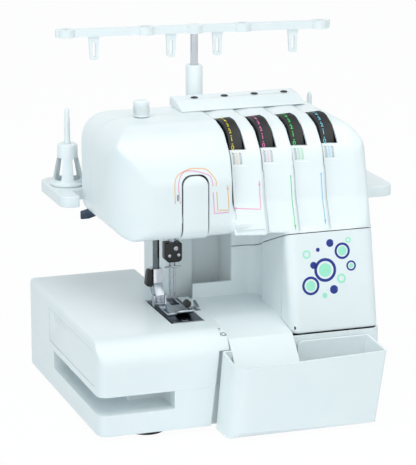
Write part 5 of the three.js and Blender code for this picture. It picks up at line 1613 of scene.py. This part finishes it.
@dataclass
class WasteTray:
    """Tray that catches the trimmings: it tapers downwards and its rim rises to the back."""

    left: float = 122.5
    right: float = 281.0
    front: tuple[float, float] = (-47.0, -38.0)
    back: tuple[float, float] = (-1.2, 4.6)
    rim: tuple[float, float] = (75.0, 81.5)
    bottom: float = 4.0
    corner: float = 17.0
    right_corner: float = 4.0
    fold: float = 4.0
    wall: float = 2.4
    taper: tuple[float, float] = (6.0, 9.5)
    lean: float = 3.0
    heel: float = 12.0
    notch: tuple[float, float, float] = (203.0, 55.0, 6.0)
    bed_end: float = 133.0

    def build(self) -> None:
        """Models the tray."""
        high = self.rim[1] + OVER
        shell = work(self.tapered("tray_shell", 0.0, self.bottom, high), Join.CUT, self.heel_cut(0.0))
        room = work(self.tapered("tray_room", self.wall, self.bottom + self.wall, high + OVER), Join.CUT,
                    self.heel_cut(self.wall))
        notch_right, notch_low, curve = self.notch
        end = notch_right + 2.0 * curve
        notch = [(self.bed_end - GAP, notch_low, 0.0), (notch_right, notch_low, curve),
                 (notch_right, self.rim[1], curve), (end, self.rim[1], 0.0), (end, high, 0.0),
                 (self.bed_end - GAP, high, 0.0)]
        work(shell, Join.CUT, room, self.rim_cut(high),
             prism("notch", Axis.Y, rounded(notch), self.back[0] - 2.0 * self.wall, self.back[1] + OVER))
        settle(chamfer(shell, 0.8, 3), WHITE_ABS, "tray", "waste_tray")

    def tapered(self, name: str, inset: float, low: float, high: float) -> bpy.types.Object:
        """The tray's form between two heights.

        Args:
            name: Name of the new object.
            inset: How far its sides move in.
            low: Lowest height.
            high: Highest height.

        Returns:
            The solid.
        """
        front_left, front_right = self.front
        back_left, back_right = self.back
        step = self.bed_end + OVER
        corners = [(self.left, front_left, self.corner), (self.right, front_right, self.right_corner),
                   (self.right - 4.0, back_right, self.fold), (step, back_right, 1.0), (step, back_left, 1.0),
                   (self.left, back_left, self.fold)]

        def shift(point: Vector) -> Vector:
            """How far a point moves in at its height."""
            depth = (self.rim[0] - point.z) / (self.rim[0] - self.bottom)
            across = (point.x - self.left) / (self.right - self.left)
            forward = (back_right - point.y) / (back_right - front_left)
            near, far = self.taper
            return Vector((-depth * (near + across * (far - near)), depth * forward * self.lean, 0.0))

        return shift_points(prism(name, Axis.Z, rounded(corners, inset), low, high), shift)

    def heel_cut(self, shift: float) -> bpy.types.Object:
        """Wedge that cuts the heel away.

        Args:
            shift: How far it moves in, which is the wall's thickness where the room is meant.

        Returns:
            The tool.
        """
        front = self.front[0] - OVER + shift
        low = self.bottom - OVER + shift
        corners = [(front, low, 0.0), (self.front[0] + self.lean + self.heel + shift, low, 0.0),
                   (front, self.bottom + self.heel + shift, 0.0)]
        return prism("heel", Axis.X, rounded(corners), self.left - 2.0 * self.taper[1], self.right + OVER)

    def rim_cut(self, high: float) -> bpy.types.Object:
        """Everything over the rim's slope.

        Args:
            high: Height that it reaches past.

        Returns:
            The tool.
        """
        slope = (self.rim[1] - self.rim[0]) / (self.back[1] - self.front[0])
        start, end = 2.0 * self.front[0], self.back[1] + OVER
        corners = [(start, self.rim[0] + (start - self.front[0]) * slope, 0.0),
                   (end, self.rim[0] + (end - self.front[0]) * slope, 0.0), (end, high + 2.0 * OVER, 0.0),
                   (start, high + 2.0 * OVER, 0.0)]
        return prism("rim", Axis.X, rounded(corners), self.left - 2.0 * self.taper[1], self.right + OVER)


@dataclass
class TopTrim:
    """Thread guide strip and pressure dial on top of the head."""

    head_top: float = 289.4
    strip: tuple[float, float] = (127.0, 258.0)
    depth: tuple[float, float, float] = (131.0, 150.0, 170.0)
    holes: tuple[float, float, int] = (149.0, 32.0, 4)
    hole_y: float = 158.0
    dial: tuple[float, float, float] = (83.0, 125.0, 8.0)

    def build(self) -> None:
        """Models the strip, the black plugs that paint the shade in its holes, and the dial."""
        low = self.head_top
        high = low + 9.6
        left, right = self.strip
        front, ridge, back = self.depth
        side = [(front, low, 0.0), (back, low, 0.0), (back, high, 3.0), (ridge, low + 7.6, 3.0),
                (front, low + 0.8, 0.0)]
        face = [(left, low, 0.0), (right, low, 0.0), (right, high, 3.0), (left, high, 3.0)]
        strip = work(prism("guide_strip", Axis.X, rounded(side), left, right), Join.KEEP,
                     prism("ends", Axis.Y, rounded(face), front, back))
        first, pitch, count = self.holes
        for index in range(count):
            x = first + index * pitch
            work(strip, Join.CUT, rod("hole", Axis.Z, (x, self.hole_y), low - OVER, high + OVER, 2.6),
                 rod("seat", Axis.Z, (x, self.hole_y), low + 7.6, high + OVER, 3.8))
            # Painted shade: a black plug fills each hole up to its rim and stands in for the dark of a hole that
            # runs deep into the machine.
            lip = low + 8.6
            shade_plug = turned("shade_plug", [(0.0, low), (2.5, low), (2.5, lip - 0.9), (3.7, lip - 0.9), (3.7, lip + 0.1),
                                   (3.3, lip + 0.5), (2.5, lip + 0.5), (2.1, lip), (1.9, lip - 2.0),
                                   (0.0, lip - 2.2)], x, self.hole_y, 32)
            shade_plug.name = f"guide_hole_{index + 1}"
            settle(shade_plug, BLACK_NYLON, "machine")
        settle(chamfer(strip, 0.5), WHITE_ABS, "machine", "thread_guide_strip")
        self.pressure_dial()

    def pressure_dial(self) -> None:
        """Dial with a plain top band over a knurled grip and a recessed ring at its foot."""
        x, y, radius = self.dial
        low = self.head_top + 0.4
        start, pitch, rings = low + 3.0, 1.1, 7
        rim = [(radius, start + k * pitch) for k in range(rings)]
        top = self.head_top + 16.0
        profile = [(0.0, low - 12.0), (3.2, low - 12.0), (3.2, low), (radius - 0.5, low), (radius, low + 0.5),
                   (radius, low + 1.3), (radius - 0.9, low + 1.5), (radius - 0.9, low + 2.3), *rim,
                   (radius - 0.6, top - 4.4), (radius - 0.6, top - 4.0), (radius, top - 3.8),
                   (radius, top - 1.2), (radius - 1.2, top - 0.2), (radius - 2.0, top), (0.0, top)]
        knob = knurled(turned("pressure_knob", profile, steps=48), start, pitch, rings, radius, 48, 0.8)
        knob.data.transform(Matrix.Translation((x, y, 0.0)))
        settle(knob, WHITE_ABS, "pressure_knob", "pressure_dial")


@dataclass
class TensionDials:
    """The four black dials with their coloured numbers."""

    knurl_steps: int = 96
    bore: float = 3.4
    column: float = 4.2
    pitch: float = 8.0
    digits: int = 10

    def build(self) -> None:
        """Models one dial with its numbers and copies both."""
        low, high = DATUM.box("tension_dial_1")
        width, radius = high.x - low.x, (high.z - low.z) / 2.0
        y, z = (low.y + high.y) / 2.0, (low.z + high.z) / 2.0
        rings, step = 6, 2.0
        rim = [(radius, step * (k + 1.25)) for k in range(rings)]
        profile = [(self.bore, 0.0), (radius - 1.6, 0.0), (radius - 0.3, 0.9), *rim,
                   (radius - 0.3, width - 0.9), (radius - 1.6, width), (self.bore, width)]
        wheel = turned("dial", profile, steps=self.knurl_steps, bored=True)
        knurled(wheel, 1.25 * step, step, rings, radius, self.knurl_steps, 0.8)
        laid(wheel, low.x, y, z)
        scale = self.numbers(low.x + self.column, y, z, radius)
        for index, finish in enumerate(SCALE_INKS):
            place, _ = DATUM.box(f"tension_dial_{index + 1}")
            for piece, name, dress, nodes in ((wheel, "dial_wheel", BLACK_NYLON, [f"tension_dial_{index + 1}"]),
                                              (scale, "dial_numbers", finish, [])):
                made = copy_of(piece, f"{name}_{index + 1}")
                made.data.transform(Matrix.Translation((place.x - low.x, 0.0, 0.0)))
                settle(made, dress, f"dial_{index + 1}", *nodes)
        for spare in (wheel, scale):
            bpy.data.objects.remove(spare, do_unlink=True)

    def numbers(self, x: float, y: float, z: float, radius: float) -> bpy.types.Object:
        """Plain digits with dashes between them, wrapped round the rim.

        Args:
            x: Middle of the column of digits.
            y: Place of the axis.
            z: Height of the axis.
            radius: Radius of the rim.

        Returns:
            The digits as one piece.
        """
        made = []
        for place in range(2 * self.digits - 1):
            bpy.ops.object.select_all(action="DESELECT")
            bpy.ops.object.text_add()
            text = bpy.context.object
            text.data.body = "-" if place % 2 else str(place // 2)
            text.data.size = 6.2
            text.data.offset = 0.012
            text.data.align_x = "CENTER"
            text.data.align_y = "CENTER"
            bpy.ops.object.convert(target="MESH")
            digit = bpy.context.object
            start = math.radians(14.0 + self.pitch * place)
            for vertex in digit.data.vertices:
                angle = start + vertex.co.y / radius
                reach = radius + 0.08
                vertex.co = (x + vertex.co.x, y - reach * math.cos(angle), z + reach * math.sin(angle))
            made.append(digit)
        return outwards(modify(merged("digits", made), "SOLIDIFY", thickness=0.1, offset=0.0))


@dataclass
class NeedleWorks:
    """Needle clamp with its screws, the presser foot's holder and the needle plate."""

    screws: tuple[tuple[float, float, float], ...] = (
        (111.7, 157.5, 2.3), (105.1, 150.3, 1.7), (114.6, 150.6, 1.7))
    clamp_size: tuple[float, float, float] = (8.25, 19.5, 13.0)
    bar_y: float = 112.0
    shanks: tuple[float, float, float] = (2.4, 8.0, 1.5)

    def build(self) -> None:
        """Models the pieces round the needles."""
        self.bars()
        self.clamp()
        self.foot()
        polished("needle_plate", DARK_NICKEL, "machine", 0.4)
        edge = slab("plate_front_edge", (90.6, 48.9, 96.0), (121.4, 49.9, 98.05))
        settle(chamfer(edge, 0.3), GROUND_STEEL, "machine")
        finger = prism("chaining_tongue", Axis.Z, rounded(rectangle(101.0, 108.0, 52.6, 59.2, 1.2)),
                       97.8, 98.25)
        settle(chamfer(finger, 0.15), GROUND_STEEL, "machine")

    @staticmethod
    def bars() -> None:
        """Turns the two upright bars in the head."""
        for node, finish, body in (("needle_bar", GROUND_STEEL, "needle_drive"),
                                   ("presser_bar", ROD_STEEL, "presser")):
            low, high = DATUM.box(node)
            radius = (high.x - low.x) / 2.0
            profile = [(0.0, low.z), (radius - 0.6, low.z), (radius, low.z + 0.6), (radius, high.z - 0.6),
                       (radius - 0.6, high.z), (0.0, high.z)]
            piece = turned(f"{node}_turned", profile, (low.x + high.x) / 2.0, (low.y + high.y) / 2.0, 32)
            settle(piece, finish, body, node)

    def clamp(self) -> None:
        """Black clamp block, its three slotted screws and the thread bar under it."""
        low, high = DATUM.box("needle_clamp")
        middle = (low.x + high.x) / 2.0
        half, tall, deep = self.clamp_size
        bottom, face = high.z - tall, high.y - deep
        apart, sunk, shank = self.shanks
        front = [(middle - half, bottom, 4.0), (middle + half, bottom, 4.0), (middle + half, high.z, 1.2),
                 (middle - half, high.z, 1.2)]
        block = work(prism("clamp_block", Axis.Y, rounded(front), face, high.y), Join.CUT,
                     rod("bar_bore", Axis.Z, (middle, self.bar_y), 153.0, high.z + OVER, 3.8),
                     *(rod("shank_bore", Axis.Z, (middle + side * apart, self.bar_y), bottom - OVER,
                           bottom + sunk, shank, sides=24) for side in (-1.0, 1.0)))
        settle(chamfer(block, 0.5), BLACK_NYLON, "needle_drive", "needle_clamp")
        for index, (x, z, radius) in enumerate(self.screws):
            head = chamfer(rod("screw", Axis.Y, (x, z), face - 1.2, face + 0.6, radius, sides=32), 0.3, 2, 60.0)
            work(head, Join.CUT,
                 slab("slot", (x - radius, face - OVER, z - 0.3), (x + radius, face - 0.6, z + 0.3)))
            head.name = f"clamp_screw_{index + 1}"
            settle(head, GROUND_STEEL, "needle_drive")
        bar = work(rod("thread_bar", Axis.X, (109.1, 137.8), middle - 8.5, middle + 8.5, 0.9, sides=24),
                   Join.FUSE, rod("stem", Axis.Z, (middle, 109.1), 137.4, bottom + 0.6, 1.0, sides=24))
        settle(bar, GROUND_STEEL, "needle_drive")

    @staticmethod
    def foot() -> None:
        """Presser holder with its black release lever, and the sole with its thread guide."""
        polished("presser_ankle", GROUND_STEEL, "presser", 0.6)
        corners = [(83.2, 118.6, 2.5), (90.2, 116.8, 1.5), (90.2, 134.6, 1.5), (85.4, 136.2, 3.0)]
        lever = chamfer(prism("release_lever", Axis.Y, rounded(corners), 113.6, 121.6), 0.8, 3)
        settle(lever, BLACK_NYLON, "presser")
        polished("presser_sole", GROUND_STEEL, "sole", 0.5)
        guide = rod("foot_thread_guide", Axis.Y, (111.6, 110.4), 66.5, 73.0, 3.6, sides=32)
        settle(chamfer(guide, 0.8, 3, 60.0), BLACK_NYLON, "sole")


@dataclass
class SpoolStand:
    """Spool stand with its pins, the open cones on them and the antenna."""

    bottom: float = 196.4
    top: float = 207.4
    pin_y: float = 204.0
    pins: tuple[float, ...] = (29.0, 110.0, 210.0, 291.0)
    pin_rise: float = 79.0
    cone_height: float = 42.0
    cone_base: float = 18.5
    crown: float = 14.0
    facing: float = 253.7
    mast: tuple[float, float] = (160.0, 191.0)
    tube_top: float = 325.0
    rod_top: float = 361.5
    bar_high: float = 8.0
    bar_turn: float = -6.5
    rings: tuple[float, ...] = (-131.0, -50.0, 50.0, 131.0)
    ring: tuple[float, float] = (9.0, 4.3)
    hooks: tuple[float, ...] = (-103.0, -24.0, 24.0, 103.0)

    def build(self) -> None:
        """Models the stand and all that it carries."""
        self.stand()
        self.cones()
        self.tube()
        self.bar()

    def stand(self) -> None:
        """Plate round the back of the head, with its four pins."""
        plan = [(7.0, 148.0, 12.0), (26.0, 148.0, 3.0), (26.0, 179.0, 1.0), (298.0, 179.0, 1.0),
                (298.0, 92.0, 3.0), (341.0, 92.0, 12.0), (341.0, 240.0, 16.0), (7.0, 240.0, 16.0)]
        plate = chamfer(prism("stand_plate", Axis.Z, rounded(plan), self.bottom, self.top), 2.0, 4)
        work(plate, Join.CUT, rod("mast_bore", Axis.Z, self.mast, self.top - 5.5, self.top + OVER, 8.8))
        tip = self.top + self.pin_rise
        for x in self.pins:
            profile = [(0.0, self.top - 2.0), (8.0, self.top - 2.0), (8.0, self.top + 1.6),
                       (7.2, self.top + 2.4), (4.0, self.top + 3.4), (3.2, self.top + 5.0),
                       (2.9, tip - 16.0), (2.4, tip - 4.0), (1.8, tip - 1.2), (0.9, tip - 0.2), (0.0, tip)]
            work(plate, Join.FUSE, turned("pin", profile, x, self.pin_y, 32))
        settle(plate, WHITE_ABS, "machine", "spool_stand")

    def cones(self) -> None:
        """Cone with a closed crown over three legs, made once and copied to each pin."""
        low = self.top + GAP
        top = low + self.cone_height
        base = self.cone_base
        shell = turned("cone", [(0.0, low), (base - 0.6, low), (base, low + 0.6), (base, low + 2.4),
                                (base - 0.6, low + 3.0), (base - 2.6, low + 3.4), (10.6, top - self.crown),
                                (10.2, top - 2.0), (9.4, top - 0.6), (8.4, top), (0.0, top)], steps=72)
        room = turned("room", [(0.0, low - OVER), (base - 4.6, low - OVER), (base - 4.6, low + 2.0),
                               (8.6, top - self.crown), (8.0, top - 2.2), (0.0, top - 2.2)], steps=72)
        work(shell, Join.CUT, room, rod("bore", Axis.Z, (0.0, 0.0), low, top + OVER, 3.6))
        window = [(-9.0, low + 5.6, 1.5), (9.0, low + 5.6, 1.5), (5.8, top - self.crown, 3.0),
                  (-5.8, top - self.crown, 3.0)]
        for side in (60.0, 180.0, 300.0):
            tool = prism("window", Axis.X, rounded(window), 2.0, base + OVER)
            tool.data.transform(Matrix.Rotation(math.radians(self.facing + side), 4, "Z"))
            work(shell, Join.CUT, tool)
        chamfer(shell, 0.5, 2, 50.0)
        for index, x in enumerate(self.pins):
            cone = copy_of(shell, f"open_cone_{index + 1}")
            cone.data.transform(Matrix.Translation((x, self.pin_y, 0.0)))
            settle(cone, WHITE_ABS, f"cone_{index + 1}", f"spool_cone_{index + 1}")
        bpy.data.objects.remove(shell, do_unlink=True)

    def tube(self) -> None:
        """Outer tube of the mast with its collar, and the chromed rod in it."""
        low, high = self.top - 5.1, self.tube_top
        profile = [(4.4, low), (8.6, low), (8.6, self.top + 0.4), (12.0, self.top + 0.4), (12.0, self.top + 4.6),
                   (11.0, self.top + 6.0), (8.9, self.top + 6.6), (8.6, self.top + 8.6), (8.6, high - 1.4),
                   (8.1, high - 0.4), (7.2, high), (4.6, high), (4.4, high - 0.3)]
        settle(turned("mast_tube", profile, *self.mast, bored=True), WHITE_ABS, "machine", "antenna_tube")
        low, _ = DATUM.box("antenna_rod")
        top = self.rod_top
        profile = [(0.0, low.z), (3.5, low.z), (4.0, low.z + 0.5), (4.0, top - 0.5), (3.5, top), (0.0, top)]
        settle(turned("mast_rod", profile, *self.mast, steps=48), CHROME, "mast", "antenna_rod")

    def bar(self) -> None:
        """Cross bar with its thread rings and slotted hooks."""
        high = self.bar_high
        bar = prism("thread_bar_top", Axis.Z, rounded(rectangle(-142.0, 142.0, -3.5, 3.5, 3.1)), 0.0, high)
        work(bar, Join.FUSE, rod("hub", Axis.Z, (0.0, 0.0), 0.0, high, 8.6),
             *(rod("ring", Axis.Z, (x, 0.0), 0.0, high, self.ring[0]) for x in self.rings))
        for x in self.hooks:
            hook = [(x - 4.0, -24.0, 2.0), (x + 4.0, -24.0, 2.0), (x + 5.5, high / 2.0, 0.0),
                    (x - 5.5, high / 2.0, 0.0)]
            work(bar, Join.FUSE, prism("hook", Axis.Y, rounded(hook), -2.0, 2.0))
            slot = rectangle(x - 1.5, x + 1.5, -21.0, -6.0, 1.4)
            work(bar, Join.CUT, prism("slot", Axis.Y, rounded(slot), -OVER, OVER))
        work(bar, Join.CUT, rod("socket", Axis.Z, (0.0, 0.0), -OVER, high / 2.0, 4.4),
             *(rod("eye", Axis.Z, (x, 0.0), -OVER, high + OVER, self.ring[1]) for x in self.rings))
        chamfer(bar, 0.7, 2, 50.0)
        place = Matrix.Translation((*self.mast, self.rod_top + GAP - high / 2.0))
        bar.data.transform(place @ Matrix.Rotation(math.radians(self.bar_turn), 4, "Z"))
        settle(bar, WHITE_ABS, "antenna", "antenna_bar")


@dataclass
class SideControls:
    """Handwheel, stitch length dial and the smaller controls on the right and at the back."""

    wheel: tuple[float, float, float] = (294.0, 167.0, 118.0)
    wheel_radius: float = 34.0
    hollows: int = 18
    dial: tuple[float, float, float] = (292.4, 70.0, 60.0)
    dial_radius: float = 17.0
    ribs: int = 32

    def build(self) -> None:
        """Models the controls."""
        self.handwheel()
        self.length_dial()
        polished("differential_feed_lever", PALE_ABS, "feed_lever", 0.6)
        polished("power_switch", BLACK_NYLON, "switch", 0.5)
        polished("power_socket", BLACK_NYLON, "machine", 0.3)
        polished("presser_lifter", DARK_NICKEL, "lifter", 0.8)
        polished("free_arm", PALE_ABS, "machine", 0.5)

    def handwheel(self) -> None:
        """Dished wheel with finger hollows round its rim."""
        rim = self.wheel_radius
        profile = [(0.0, 16.4), (5.2, 16.4), (5.2, 0.0), (32.6, 0.0), (33.6, 0.4), (rim, 1.4), (rim, 8.0),
                   (rim, 15.0), (rim, 21.6), (33.6, 22.6), (32.6, 23.0), (28.4, 23.0), (27.4, 22.4),
                   (27.0, 21.4), (26.6, 16.0), (25.0, 15.0), (14.0, 15.0), (12.4, 15.8), (12.0, 17.0),
                   (12.0, 21.6), (11.4, 22.4), (10.4, 22.6), (0.0, 22.6)]
        wheel = waved(turned("hand_wheel", profile, steps=144), self.wheel_radius, self.hollows, 1.4)
        settle(laid(wheel, *self.wheel), WHITE_ABS, "drive_shaft", "handwheel")

    def length_dial(self) -> None:
        """Dial with a ribbed rim and a pointer line."""
        radius = self.dial_radius
        profile = [(0.0, -7.4), (4.0, -7.4), (4.0, 0.0), (radius - 0.6, 0.0), (radius, 0.6), (radius, 4.0),
                   (radius, 9.4), (radius - 0.6, 10.6), (radius - 1.6, 11.0), (12.0, 10.4), (0.0, 10.2)]
        dial = waved(turned("ribbed_dial", profile, steps=4 * self.ribs), radius, self.ribs, 0.8)
        settle(laid(dial, *self.dial), PALE_ABS, "length_knob", "stitch_length_dial")
        x, y, z = self.dial
        pointer = slab("dial_pointer", (x + 10.2, y - 0.7, z + 4.0), (x + 10.9, y + 0.7, z + 12.0))
        settle(chamfer(pointer, 0.15), GREY_INK, "length_knob")


def main() -> None:
    """Builds the machine and the studio in order."""
    logging.basicConfig(level=logging.INFO, format="%(name)s: %(message)s")
    dress_frame()
    Studio().build()
    feet = [Foot(f"foot_{place}") for place in ("front_left", "front_right", "rear_left", "rear_right")]
    for part in (BaseCasing(), *feet, BedExtension(), Housing(), WasteTray(), TopTrim(), TensionDials(),
                 NeedleWorks(), SpoolStand(), SideControls()):
        part.build()
        log.info("%s is done", type(part).__name__)


if __name__ == "__main__":
    main()
